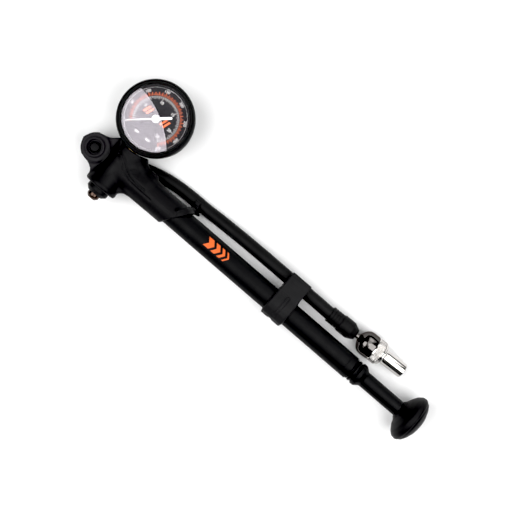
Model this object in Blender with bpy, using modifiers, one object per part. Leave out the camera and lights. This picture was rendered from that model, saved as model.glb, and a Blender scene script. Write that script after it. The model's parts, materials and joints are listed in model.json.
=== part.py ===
"""Shock suspension pump: a hand pump for suspension units, with a dial gauge and a folding hose.

Pump axes: X runs along the barrel from the head to the knob, Y points from the barrel to the
gauge, and Z is up, out of the dial. The pump's own zero is where the crossbar and the barrel's
axes cross. Every length below is in millimetres and is turned into metres when a mesh is made.
A turned piece is given by (station, radius) pairs along its axis, in order of rising station.
"""

import math

import bmesh
import bpy
from mathutils import Euler, Matrix, Vector

MM = 0.001

# ---- Overall box, in pump axes: it places the pump in the part's frame ----
BOX_X = (-27.3, 255.0)
BOX_Y = (-26.1, 63.8)
FLOOR_Z = -17.7

# ---- Clearances and facets ----
GAP = 0.3
SEAM_WELD = 0.00001
FACETS_LARGE = 40
FACETS = 24
FACETS_SMALL = 16
FACETS_TINY = 10
FACETS_CROSSING = 18

# ---- Head ----
CROSSBAR_R = 9.6
CROSSBAR_Y = (-16.8, 15.6)
FLANGE_R = 10.9
FLANGE_Y = (-16.8, -12.3)
HEAD_FLOOR_Z = -7.7
PLATE_Z = (-7.3, 4.6)
SKIRT_R = 9.8
SKIRT_X = (2.0, 62.0)
SKIRT_END_X = 50.3
SKIRT_END_SLANT = math.radians(36.0)
SOCKET_R = 8.2
SOCKET_X = 12.3
CHAMBER_R = 2.7
BLEED_BORE_R = 5.5
STEM_BORE_R = 4.3
VALVE_BORE_R = 3.6

# ---- Swivel ----
SWIVEL_X = -18.3
EYE_R = 9.0
EYE_TOP_Z = 5.4
EYE_RING_R = 6.5
EYE_RING_TOP_Z = 7.8
EYE_RECESS_R = 5.05
EYE_RECESS_Z = 4.6
POST_R = 3.0
POST_BORE_R = 4.6
ELBOW_R = 5.6
HOSE_LEAVES = math.radians(17.6)

# ---- Hose ----
HOSE_R = 4.2
HOSE_LOW_Z = -12.8
HOSE_CLIP_Z = -4.5
HOSE_STARTS = 9.3
HOOK_X = (51.0, 59.0)
HOOK_CENTRE_Y = 16.0
CLIP_CENTRE_Y = 17.5
FERRULE = (6.3, 16.5)

# ---- Hose end and chuck: stations count from the strain relief's small end ----
CHUCK_START = Vector((186.6, 18.04, -7.58))
CHUCK_TURN = math.radians(3.0)
CHUCK_DIP = math.radians(5.7)
HOSE_BOOT_LENGTH = 21.8
HOSE_IN_BOOT = -9.0
KNURL_R = 8.3
CHUCK_TUBE_R = 5.0
CHUCK_BORE_R = 4.1
CHUCK_END = 39.0

# ---- Gauge ----
GAUGE_Y = 38.7
GAUGE_R = 25.1
GAUGE_Z = (-8.2, 15.8)
CASE_R = 22.4
LENS_OPENING_R = 21.5
POINTER_ZERO = math.radians(222.5)
PINION_TEETH = 8
SECTOR_TEETH = 48
GEAR_MODULE = 0.5
SECTOR_PIVOT_ANGLE = math.radians(200.0)
SECTOR_SWING = math.radians(45.0)

# ---- Barrel and plunger ----
BARREL_R = 7.9
BARREL_BORE_R = 6.5
BARREL_X = (13.8, 197.5)
ROD_R = 3.5
ROD_BORE_R = ROD_R + GAP
SLEEVE_R = 5.3
KNOB_R = 16.3
CLIP_X = (129.5, 144.5)
CLIP_R = 10.1

# ---- Bleed valve: stations count from the barrel's axis outwards, along -Y ----
COLLAR_R = 7.4
BUTTON_R = 4.2
BUTTON_END = 26.1


def clear_scene():
    for old in list(bpy.data.objects):
        bpy.data.objects.remove(old, do_unlink=True)


def new_collection(name):
    collection = bpy.data.collections.new(name)
    bpy.context.scene.collection.children.link(collection)
    return collection


clear_scene()
PARTS = new_collection("shock_pump")
CUTTERS = new_collection("cutters")


def material(name, colour, roughness, metallic=0.0):
    made = bpy.data.materials.new(name)
    made.use_nodes = True
    shader = made.node_tree.nodes["Principled BSDF"]
    shader.inputs["Base Color"].default_value = (*colour, 1.0)
    shader.inputs["Roughness"].default_value = roughness
    shader.inputs["Metallic"].default_value = metallic
    made.diffuse_color = (*colour, 1.0)
    return made


# One finish for each kind of surface: colour, roughness, metallic.
FINISHES = {
    "black_casting": ((0.018, 0.018, 0.020), 0.42, 0.0),
    "black_anodised": ((0.015, 0.015, 0.017), 0.34, 0.3),
    "black_rubber": ((0.020, 0.020, 0.021), 0.70, 0.0),
    "black_hose": ((0.016, 0.016, 0.017), 0.55, 0.0),
    "chrome": ((0.78, 0.77, 0.75), 0.16, 1.0),
    "steel": ((0.60, 0.60, 0.60), 0.30, 1.0),
    "brass": ((0.70, 0.52, 0.25), 0.35, 1.0),
    "copper": ((0.62, 0.42, 0.33), 0.30, 1.0),
    "dial_black": ((0.012, 0.012, 0.014), 0.50, 0.0),
    "white_paint": ((0.85, 0.85, 0.85), 0.40, 0.0),
    "clear_lens": ((0.92, 0.92, 0.94), 0.05, 0.0),
    "piston_plastic": ((0.55, 0.53, 0.48), 0.50, 0.0),
}


def axis_empty(name, at, turn=(0.0, 0.0, 0.0), parent=None):
    """An empty that pieces hang on; a moving piece's empty lies on its joint's axis."""
    empty = bpy.data.objects.new(name, None)
    empty.location = Vector(at) * MM
    empty.rotation_euler = turn
    empty.parent = parent
    PARTS.objects.link(empty)
    return empty


def finish_object(name, mesh, finish, parent, turn=(0.0, 0.0, 0.0)):
    """Make an object of a mesh: a part when it has a finish, and a cutter when it has none."""
    made = bpy.data.objects.new(name, mesh)
    made.parent = parent
    made.rotation_euler = turn
    if finish is None:
        CUTTERS.objects.link(made)
        made.hide_render = True
        made.display_type = "WIRE"
        return made
    PARTS.objects.link(made)
    colour, roughness, metallic = FINISHES[finish]
    mesh.materials.append(material(name + "_" + finish, colour, roughness, metallic))
    return made


ALONG_X = (0.0, math.pi / 2, 0.0)
ALONG_Z = (0.0, 0.0, 0.0)
AGAINST_Y = (math.pi / 2, 0.0, 0.0)


def spin_profile(name, path, closed, finish, parent, turn, facets):
    """Turn a profile about local Z. path holds (radius, station), outer side from top to bottom."""
    mesh = bpy.data.meshes.new(name)
    form = bmesh.new()
    points = [form.verts.new((r * MM, 0.0, s * MM)) for r, s in path]
    for first, second in zip(points, points[1:]):
        form.edges.new((first, second))
    if closed:
        form.edges.new((points[-1], points[0]))
    form.to_mesh(mesh)
    form.free()
    made = finish_object(name, mesh, finish, parent, turn)
    screw = made.modifiers.new("turned", "SCREW")
    screw.axis = "Z"
    screw.angle = 2 * math.pi
    screw.steps = facets
    screw.render_steps = facets
    screw.use_merge_vertices = True
    screw.merge_threshold = SEAM_WELD
    screw.use_smooth_shade = True
    return made


def solid(name, outer, finish, parent, turn=ALONG_X, facets=FACETS):
    """A turned piece with no hole."""
    path = [(r, s) for s, r in reversed(outer)]
    path = [(0.0, outer[-1][0])] * (outer[-1][1] > 0) + path + [(0.0, outer[0][0])] * (outer[0][1] > 0)
    return spin_profile(name, path, False, finish, parent, turn, facets)


def ring(name, outer, bore, finish, parent, turn=ALONG_X, facets=FACETS):
    """A turned piece with a hole right through it."""
    path = [(r, s) for s, r in reversed(outer)] + [(r, s) for s, r in bore]
    return spin_profile(name, path, True, finish, parent, turn, facets)


def blind_top(name, outer, bore, finish, parent, turn=ALONG_X, facets=FACETS):
    """A turned piece with a hole that opens at its high end; bore starts on the axis."""
    path = [(r, s) for s, r in bore] + [(r, s) for s, r in reversed(outer)] + [(0.0, outer[0][0])]
    return spin_profile(name, path, False, finish, parent, turn, facets)


def blind_bottom(name, outer, bore, finish, parent, turn=ALONG_X, facets=FACETS):
    """A turned piece with a hole that opens at its low end; bore ends on the axis."""
    path = [(r, s) for s, r in reversed(outer)] + [(r, s) for s, r in bore]
    if outer[-1][1] > 0:
        path = [(0.0, outer[-1][0])] + path
    return spin_profile(name, path, False, finish, parent, turn, facets)


def o_ring(name, centre_r, wire_r, station, finish, parent, turn):
    """A round-section seal about local Z."""
    sides = 6
    path = []
    for k in range(sides):
        angle = -2 * math.pi * k / sides
        path.append((centre_r + wire_r * math.cos(angle), station + wire_r * math.sin(angle)))
    return spin_profile(name, path, True, finish, parent, turn, FACETS_SMALL)


def as_mesh(curve_object):
    """Replace a curve object by a mesh with its caps welded on."""
    evaluated = curve_object.evaluated_get(bpy.context.evaluated_depsgraph_get())
    mesh = bpy.data.meshes.new_from_object(evaluated)
    bpy.data.objects.remove(curve_object, do_unlink=True)
    form = bmesh.new()
    form.from_mesh(mesh)
    bmesh.ops.remove_doubles(form, verts=form.verts, dist=SEAM_WELD)
    bmesh.ops.recalc_face_normals(form, faces=form.faces)
    form.to_mesh(mesh)
    form.free()
    mesh.materials.clear()
    return mesh


def plate(name, outlines, low, high, finish, parent, turn=ALONG_Z):
    """A flat piece: closed outlines in local XY, the later ones being holes, from low to high in Z."""
    curve = bpy.data.curves.new(name, "CURVE")
    curve.dimensions = "2D"
    curve.fill_mode = "BOTH"
    curve.extrude = (high - low) / 2 * MM
    for outline in outlines:
        spline = curve.splines.new("POLY")
        spline.points.add(len(outline) - 1)
        spline.use_cyclic_u = True
        for point, (x, y) in zip(spline.points, outline):
            point.co = (x * MM, y * MM, 0.0, 1.0)
    guide = bpy.data.objects.new(name, curve)
    CUTTERS.objects.link(guide)
    bpy.context.view_layer.update()
    mesh = as_mesh(guide)
    mesh.transform(Matrix.Translation((0.0, 0.0, (low + high) / 2 * MM)))
    return finish_object(name, mesh, finish, parent, turn)


def tube(name, points, radius, finish, parent, resolution=2):
    """A round bar along a list of points in millimetres."""
    curve = bpy.data.curves.new(name, "CURVE")
    curve.dimensions = "3D"
    curve.bevel_depth = radius * MM
    curve.bevel_resolution = resolution
    curve.render_resolution_u = 0
    curve.use_fill_caps = True
    spline = curve.splines.new("POLY")
    spline.points.add(len(points) - 1)
    for point, place in zip(spline.points, points):
        point.co = (*(Vector(place) * MM), 1.0)
    colour, roughness, metallic = FINISHES[finish]
    curve.materials.append(material(name + "_" + finish, colour, roughness, metallic))
    made = bpy.data.objects.new(name, curve)
    made.parent = parent
    PARTS.objects.link(made)
    return made


def block(name, low, high, parent, turn=(0.0, 0.0, 0.0), at=(0.0, 0.0, 0.0)):
    """A box cutter from corner to corner, turned about the point at."""
    mesh = bpy.data.meshes.new(name)
    form = bmesh.new()
    bmesh.ops.create_cube(form, size=1.0)
    size = [(b - a) * MM for a, b in zip(low, high)]
    middle = Vector([(a + b) / 2 * MM for a, b in zip(low, high)])
    bmesh.ops.scale(form, vec=size, verts=form.verts)
    bmesh.ops.translate(form, vec=middle, verts=form.verts)
    form.to_mesh(mesh)
    form.free()
    made = finish_object(name, mesh, None, parent, turn)
    made.location = Vector(at) * MM
    return made


def boolean(target, other, operation):
    modifier = target.modifiers.new(operation.lower() + "_" + other.name, "BOOLEAN")
    modifier.operation = operation
    modifier.solver = "EXACT"
    modifier.object = other


def cut(target, *others):
    for other in others:
        boolean(target, other, "DIFFERENCE")


def join(target, *others):
    for other in others:
        boolean(target, other, "UNION")


def arc(centre, radius, start, end, count):
    """Points on an arc in degrees, both ends included."""
    points = []
    for k in range(count):
        angle = math.radians(start + (end - start) * k / (count - 1))
        points.append((centre[0] + radius * math.cos(angle), centre[1] + radius * math.sin(angle)))
    return points


def circle(centre, radius, count):
    return arc(centre, radius, 0.0, 360.0 * (count - 1) / count, count)


def coil(centre_r, wire_turns, low, high, per_turn=8):
    """Points of a spring about local Z."""
    points = []
    total = wire_turns * per_turn
    for k in range(total + 1):
        angle = 2 * math.pi * k / per_turn
        station = low + (high - low) * k / total
        points.append((centre_r * math.cos(angle), centre_r * math.sin(angle), station))
    return points


# ---- Joint axes and groups ----

middle_x = sum(BOX_X) / 2
middle_y = sum(BOX_Y) / 2
PUMP = axis_empty("pump_zero", (-middle_x, -middle_y, -FLOOR_Z))
PLUNGER = axis_empty("plunger_axis", (0.0, 0.0, 0.0), parent=PUMP)
BLEED = axis_empty("bleed_axis", (0.0, 0.0, 0.0), AGAINST_Y, PUMP)
VALVE = axis_empty("check_valve_axis", (0.0, 0.0, 0.0), ALONG_X, PUMP)
GAUGE = axis_empty("gauge_axis", (0.0, GAUGE_Y, 0.0), parent=PUMP)
SWIVEL = axis_empty("swivel_axis", (SWIVEL_X, 0.0, 0.0), parent=PUMP)
CHUCK_TOWARDS = Euler((0.0, math.pi / 2 + CHUCK_DIP, CHUCK_TURN))
CHUCK = axis_empty("chuck_axis", CHUCK_START - Vector((SWIVEL_X, 0.0, 0.0)), CHUCK_TOWARDS, SWIVEL)


# ---- Head ----

def head_casting():
    """T-shaped head: crossbar, bleed flange, swivel eye, gauge neck, barrel skirt and hose hook."""
    head = solid(
        "head_casting",
        [
            (-CROSSBAR_Y[1], CROSSBAR_R),
            (9.8, CROSSBAR_R),
            (11.4, 10.1),
            (-FLANGE_Y[1], FLANGE_R),
            (-FLANGE_Y[0], FLANGE_R),
        ],
        "black_casting", PUMP, AGAINST_Y)
    web_outline = [
        (-19.0, -8.5), (-15.5, -9.2), (-12.6, -10.8), (-10.5, -14.0), (10.2, -13.6), (11.9, -12.0),
        (14.4, -10.2), (18.0, -9.2), (31.0, -8.8), (31.0, 9.0), (26.0, 9.3), (23.7, 12.0), (15.4, 12.2),
        (12.4, 13.6), (10.6, 17.5), (-9.6, 17.5), (-10.4, 14.8), (-14.0, 12.0), (-19.0, 8.5),
    ]
    web = plate("head_web", [web_outline], PLATE_Z[0], PLATE_Z[1], None, PUMP)
    eye_outer = [(-12.0, EYE_R), (EYE_TOP_Z, EYE_R), (EYE_TOP_Z, EYE_RING_R), (EYE_RING_TOP_Z, EYE_RING_R)]
    eye = solid("head_eye", eye_outer, None, SWIVEL, ALONG_Z)
    neck_outline = [(-9.4, 6.0), (9.9, 6.0), (10.3, 19.0), (-9.8, 19.0)]
    neck = plate("head_neck", [neck_outline], -9.0, 8.6, None, PUMP)
    skirt = solid("head_skirt", [(SKIRT_X[0], 9.5), (SKIRT_X[1], SKIRT_R)], None, PUMP)
    slant = block("skirt_slant", (0.0, -40.0, -20.0), (40.0, 40.0, 20.0), PUMP,
                  (0.0, 0.0, -SKIRT_END_SLANT), (SKIRT_END_X, 0.0, 0.0))
    floor = block("head_floor", (-40.0, -11.6, -30.0), (10.6, 30.0, HEAD_FLOOR_Z), PUMP)
    web_floor = block("web_floor", (10.0, 9.5, -30.0), (40.0, 30.0, -5.0), PUMP)
    cut(skirt, slant)
    join(head, web, eye, neck)
    cut(head, floor, web_floor)
    join(head, skirt, hook())
    cut(
        head,
        solid("gauge_seat", [(-30.0, GAUGE_R + GAP), (30.0, GAUGE_R + GAP)], None, GAUGE, ALONG_Z,
              FACETS_LARGE),
        solid("barrel_bore",
              [(SWIVEL_X, 1.2), (-3.0, 1.2), (-3.0, 2.3), (4.0, 2.3), (4.0, VALVE_BORE_R),
               (SOCKET_X, VALVE_BORE_R), (SOCKET_X, SOCKET_R), (80.0, SOCKET_R)],
              None, PUMP),
        solid("cross_bore",
              [(-24.0, STEM_BORE_R), (-6.0, STEM_BORE_R), (-6.0, CHAMBER_R), (7.3, CHAMBER_R), (7.3, 1.6),
               (9.5, 1.6), (9.5, BLEED_BORE_R), (20.0, BLEED_BORE_R)],
              None, BLEED, ALONG_Z, FACETS_CROSSING),
        solid("post_bore",
              [(-20.0, POST_BORE_R), (3.2, POST_BORE_R), (3.2, POST_R + GAP), (EYE_RECESS_Z, POST_R + GAP),
               (EYE_RECESS_Z, EYE_RECESS_R), (12.0, EYE_RECESS_R)],
              None, SWIVEL, ALONG_Z, FACETS_SMALL),
    )


def hook():
    """A C-shaped cradle under the hose, open towards +Y, on an arm from the skirt."""
    outer_r = HOSE_R + GAP + 1.7
    inner_r = HOSE_R + GAP
    centre = (HOOK_CENTRE_Y, HOSE_LOW_Z)
    cradle = arc(centre, outer_r, 90.0, 228.0, 10) + arc(centre, inner_r, 228.0, 90.0, 10)
    arm = [(4.0, -7.2), (7.6, -3.4), (12.6, -7.8), (11.2, -10.2), (10.6, -13.0)]
    # Local X and Y of these plates are the pump's Y and Z.
    across = (math.pi / 2, 0.0, math.pi / 2)
    cradle_plate = plate("hook_cradle", [cradle], HOOK_X[0], HOOK_X[1], None, PUMP, across)
    arm_plate = plate("hook_arm", [arm], 45.5, HOOK_X[1] - 0.6, None, PUMP, across)
    keep_off = solid("hook_barrel_room", [(40.0, SOCKET_R + 0.4), (70.0, SOCKET_R + 0.4)], None, PUMP)
    cut(arm_plate, keep_off)
    join(cradle_plate, arm_plate)
    return cradle_plate


def check_valve():
    """Ball valve between the barrel and the head's chamber."""
    seat_x = (8.8, 11.9)
    ring("check_valve_seat", [(seat_x[0], 3.3), (seat_x[1], 3.3)], [(seat_x[0], 1.5), (seat_x[0] + 0.8, 1.1),
         (seat_x[1], 1.1)], "brass", VALVE, ALONG_Z, FACETS_SMALL)
    ball_r = 1.9
    ball_x = 6.5
    profile = [(ball_x + ball_r * math.sin(a), ball_r * math.cos(a))
               for a in [math.radians(-90.0 + 180.0 * k / 8) for k in range(1, 8)]]
    profile = [(ball_x - ball_r, 0.0)] + profile + [(ball_x + ball_r, 0.0)]
    solid("check_valve_ball", profile, "steel", VALVE, ALONG_Z, FACETS_TINY)
    tube("check_valve_spring", coil(1.55, 4, -2.2, 4.1), 0.25, "steel", VALVE)


def bleed_valve():
    """Push button at the crossbar's free end, its collar, return spring and inner seal."""
    ring("bleed_collar",
         [(12.0, 5.2), (17.0, 5.2), (17.1, COLLAR_R), (21.2, COLLAR_R), (22.8, 5.0)],
         [(12.0, 4.5), (22.8, 4.5)], "black_casting", BLEED, ALONG_Z)
    solid("bleed_button",
          [(6.9, 1.2), (19.6, 1.2), (19.6, BUTTON_R), (25.0, BUTTON_R), (25.8, 3.5), (BUTTON_END, 2.0)],
          "copper", BLEED, ALONG_Z, FACETS_SMALL)
    solid("bleed_seal", [(5.2, 2.1), (6.6, 2.1)], "black_rubber", BLEED, ALONG_Z, FACETS_TINY)
    tube("bleed_spring", coil(2.9, 4, 10.2, 18.9), 0.35, "steel", BLEED)


# ---- Gauge ----

def gauge_shell():
    """Steel case in a rubber boot, with the clear lens held under the boot's lip."""
    case = blind_top("gauge_case", [(-7.0, CASE_R), (12.4, CASE_R)],
                     [(-5.8, 0.0), (-5.8, 21.2), (12.4, 21.2)], "steel", GAUGE, ALONG_Z, FACETS_LARGE)
    boot = blind_top(
        "gauge_boot",
        [(GAUGE_Z[0], 23.0), (GAUGE_Z[0] + 1.2, 23.7), (3.0, 24.0), (8.5, GAUGE_R), (13.2, GAUGE_R),
         (14.9, 24.3), (GAUGE_Z[1], 23.2), (GAUGE_Z[1], 22.0), (14.9, LENS_OPENING_R)],
        [(-7.3, 0.0), (-7.3, 22.7), (14.5, 22.7), (14.5, LENS_OPENING_R)],
        "black_rubber", GAUGE, ALONG_Z, FACETS_LARGE)
    case_hole = solid("case_stem_hole", [(8.0, 4.4), (28.0, 4.4)], None, GAUGE, AGAINST_Y, FACETS_SMALL)
    boot_hole = solid("boot_stem_hole", [(8.0, 5.2), (28.0, 5.2)], None, GAUGE, AGAINST_Y, FACETS_SMALL)
    cut(case, case_hole)
    cut(boot, boot_hole)
    solid("gauge_lens", [(12.7, 22.3), (14.2, 22.3)], "clear_lens", GAUGE, ALONG_Z, FACETS_LARGE)
    plate("dial_plate", [circle((0.0, 0.0), 20.8, 40), circle((0.0, 0.0), 1.4, 10)], 8.0, 8.8,
          "dial_black", GAUGE)


def gauge_stem():
    """Threaded stem that carries the gauge and feeds its tube."""
    solid("gauge_stem", [(-23.0, 4.6), (-18.5, 4.6), (-18.4, 3.9), (-8.1, 3.9)], "brass", BLEED, ALONG_Z,
          FACETS_SMALL)
    o_ring("stem_oring", 3.2, 0.55, -7.2, "black_rubber", BLEED, ALONG_Z)


def gear_outline(teeth, module, backlash, first=0, count=None, close_at=None):
    """Straight-flanked gear teeth about the origin; close_at ends a sector's outline."""
    pitch_r = teeth * module / 2
    step = 2 * math.pi / teeth
    half = (math.pi * module / 2 - backlash) / 2 / pitch_r
    points = []
    for k in range(first, first + (count or teeth)):
        middle = step * k
        for radius, reach in ((pitch_r - 1.3 * module, 1.35), (pitch_r + 0.8 * module, 0.55)):
            points.append((radius, middle - half * reach))
        for radius, reach in ((pitch_r + 0.8 * module, 0.55), (pitch_r - 1.3 * module, 1.35)):
            points.append((radius, middle + half * reach))
    outline = [(r * math.cos(a), r * math.sin(a)) for r, a in points]
    return outline + (close_at or [])


def turned_outline(outline, angle, shift=(0.0, 0.0)):
    c, s = math.cos(angle), math.sin(angle)
    return [(c * x - s * y + shift[0], s * x + c * y + shift[1]) for x, y in outline]


def gauge_movement():
    """Bent tube, sector gear and pinion that turn the pointer."""
    backlash = 0.32
    distance = (PINION_TEETH + SECTOR_TEETH) * GEAR_MODULE / 2
    pivot = (distance * math.cos(SECTOR_PIVOT_ANGLE), distance * math.sin(SECTOR_PIVOT_ANGLE))
    sector_axis = axis_empty("sector_axis", (pivot[0], pivot[1], 0.0), parent=GAUGE)
    to_centre = SECTOR_PIVOT_ANGLE + math.pi
    tooth = 2 * math.pi / SECTOR_TEETH
    below = int(round(SECTOR_SWING / tooth)) + 1
    hub = arc((0.0, 0.0), 2.2, 60.0, 260.0, 9)
    sector = gear_outline(SECTOR_TEETH, GEAR_MODULE, backlash, -below, below + 2, hub)
    plate("sector_gear", [turned_outline(sector, to_centre), circle((0.0, 0.0), 1.15, 10)], 3.6, 4.8,
          "brass", sector_axis)
    pinion_turn = SECTOR_PIVOT_ANGLE + math.pi / PINION_TEETH
    pinion = turned_outline(gear_outline(PINION_TEETH, GEAR_MODULE, backlash), pinion_turn)
    plate("pinion", [pinion, circle((0.0, 0.0), 0.95, 8)], 3.4, 5.0, "brass", GAUGE)
    solid("pointer_arbor", [(2.4, 0.6), (9.9, 0.6)], "steel", GAUGE, ALONG_Z, FACETS_TINY)
    pointer()
    tilt = SECTOR_PIVOT_ANGLE
    base = turned_outline([(-3.0, -4.0), (17.0, -4.0), (17.0, 4.0), (-3.0, 4.0)], tilt)
    movement = plate("movement_plate", [base], 1.2, 2.0, "brass", GAUGE)
    post = solid("sector_post", [(1.6, 0.8), (6.0, 0.8)], None, sector_axis, ALONG_Z, FACETS_TINY)
    foot = solid("movement_foot", [(-5.4, 1.2), (1.6, 1.2)], None, GAUGE, ALONG_Z, FACETS_TINY)
    join(movement, post, foot)
    bend = [(x, y, -3.0) for x, y in arc((0.0, 0.0), 15.5, -68.0, 160.0, 20)]
    tube("bourdon_tube", bend, 1.5, "brass", GAUGE)


def pointer():
    """Needle with a short wide tail, at zero in the lower left of the dial."""
    tip, tail, hub_r = 19.4, 10.8, 2.6
    hub_side = [math.degrees(math.asin(0.9 / hub_r)), math.degrees(math.asin(0.5 / hub_r))]
    outline = [(tip, -0.22), (tip, 0.22)]
    outline += arc((0.0, 0.0), hub_r, hub_side[1], 180.0 - hub_side[0], 8)
    outline += [(-tail, 0.9), (-tail, -0.9)]
    outline += arc((0.0, 0.0), hub_r, 180.0 + hub_side[0], 360.0 - hub_side[1], 8)
    plate("pointer", [turned_outline(outline, POINTER_ZERO)], 10.2, 10.8, "white_paint", GAUGE)


# ---- Barrel and plunger ----

def barrel_group():
    ring("barrel_gasket", [(12.6, 7.4), (13.5, 7.4)], [(12.6, 5.3), (13.5, 5.3)], "black_rubber", PUMP)
    ring("barrel", [(BARREL_X[0], BARREL_R), (BARREL_X[1], BARREL_R)],
         [(BARREL_X[0], BARREL_BORE_R), (BARREL_X[1], BARREL_BORE_R)], "black_anodised", PUMP)
    ring("barrel_gland",
         [(185.5, 6.2), (197.8, 6.2), (197.8, 7.2), (198.6, 7.2), (198.9, 6.6), (199.3, 6.6), (199.6, 7.2),
          (200.4, 7.2), (200.7, 6.6), (201.1, 6.6), (201.3, 6.9), (201.6, 6.9)],
         [(185.5, ROD_BORE_R), (187.0, ROD_BORE_R), (187.0, 5.2), (201.6, 5.2)], "black_anodised", PUMP)
    ring("rod_bush", [(187.3, 4.9), (198.9, 4.9)], [(187.3, ROD_BORE_R), (198.9, ROD_BORE_R)],
         "piston_plastic", PUMP)
    ring("rod_wiper", [(199.2, 4.9), (201.4, 4.9)], [(199.2, ROD_BORE_R), (201.4, ROD_BORE_R)],
         "black_rubber", PUMP, facets=FACETS_SMALL)


def hose_clip():
    """Rubber keeper round the barrel with an open channel for the hose."""
    centre = (CLIP_CENTRE_Y, HOSE_CLIP_Z)
    channel_r = HOSE_R + GAP + 0.05
    outline = [(0.0, 9.9), (18.0, 6.6), (21.0, 5.6), (22.6, 3.4), (22.6, HOSE_CLIP_Z + channel_r)]
    outline += arc(centre, channel_r, 90.0, 270.0, 11)
    outline += [(21.0, HOSE_CLIP_Z - channel_r), (21.0, -10.8), (19.4, -11.6), (12.0, -11.6)]
    outline += arc((0.0, 0.0), CLIP_R, 305.0, 105.0, 13)
    across = (math.pi / 2, 0.0, math.pi / 2)
    plate("hose_clip", [outline, circle((0.0, 0.0), BARREL_R + GAP + 0.05, 24)], CLIP_X[0], CLIP_X[1],
          "black_rubber", PUMP, across)


def plunger():
    blind_top("piston",
              [(15.3, 5.2), (16.0, 6.1), (18.0, 6.1), (18.0, 4.6), (21.2, 4.6), (21.2, 6.1), (22.6, 6.1),
               (22.6, 5.0), (24.4, 5.0), (24.4, 6.1), (25.4, 6.1)],
              [(16.6, 0.0), (16.6, 2.5), (25.4, 2.5)], "piston_plastic", PLUNGER)
    ring("piston_seal", [(18.3, 5.9), (19.2, 6.2), (20.9, 5.7)], [(18.3, 4.9), (20.9, 4.9)],
         "black_rubber", PLUNGER, facets=FACETS_SMALL)
    ring("piston_wear_ring", [(22.9, 6.2), (24.1, 6.2)], [(22.9, 5.3), (24.1, 5.3)], "piston_plastic",
         PLUNGER, facets=FACETS_SMALL)
    solid("piston_rod", [(16.9, 2.2), (25.7, 2.2), (25.7, ROD_R), (246.4, ROD_R)], "steel", PLUNGER,
          facets=FACETS_SMALL)
    ring("handle_sleeve",
         [(201.9, 7.0), (202.4, 7.8), (206.2, 7.8), (207.3, 6.9), (208.3, SLEEVE_R), (237.3, SLEEVE_R)],
         [(201.9, ROD_BORE_R), (237.3, ROD_BORE_R)], "black_anodised", PLUNGER)
    blind_bottom(
        "knob",
        [(237.6, 6.3), (238.9, 7.8), (240.1, 10.2), (241.4, 12.4), (242.9, 14.3), (244.7, 15.7),
         (246.9, KNOB_R), (248.9, 15.8), (250.7, 14.4), (252.5, 11.6), (254.0, 8.0), (254.8, 4.2), (255.0, 0.0)],
        [(237.6, ROD_BORE_R), (246.8, ROD_BORE_R), (246.8, 0.0)], "black_casting", PLUNGER)


# ---- Swivel hose ----

def hose_route():
    """Centre line of the hose from the swivel to its strain relief, in pump axes."""
    leaves = Vector((math.cos(HOSE_LEAVES), math.sin(HOSE_LEAVES), 0.0))
    swivel = Vector((SWIVEL_X, 0.0, HOSE_LOW_Z))
    towards = CHUCK_TOWARDS.to_matrix() @ Vector((0.0, 0.0, 1.0))
    route = [swivel + leaves * along for along in (HOSE_STARTS, 20.0, 33.0)]
    route += [Vector(p) for p in (
        (25.0, 13.4, HOSE_LOW_Z),
        (38.0, 15.4, HOSE_LOW_Z),
        (51.0, 15.95, HOSE_LOW_Z),
        (60.0, 16.05, HOSE_LOW_Z),
        (74.0, 16.7, -11.6),
        (90.0, 17.2, -8.9),
        (106.0, 17.45, -6.1),
        (121.0, CLIP_CENTRE_Y, -4.6),
        (130.0, CLIP_CENTRE_Y, HOSE_CLIP_Z),
        (146.0, 17.45, HOSE_CLIP_Z),
    )]
    route += [CHUCK_START + towards * station for station in (-24.0, -16.0, HOSE_IN_BOOT)]
    return route


def smooth_curve(route, steps):
    """Points on a Catmull-Rom curve through a route."""
    ends = [route[0] * 2 - route[1]] + route + [route[-1] * 2 - route[-2]]
    points = []
    for before, here, there, after in zip(ends, ends[1:], ends[2:], ends[3:]):
        for k in range(steps):
            t = k / steps
            points.append(
                here + (there - before) * (t / 2)
                + (before * 2 - here * 5 + there * 4 - after) * (t * t / 2)
                + (here * 3 - before - there * 3 + after) * (t * t * t / 2)
            )
    return points + [route[-1]]


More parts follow.
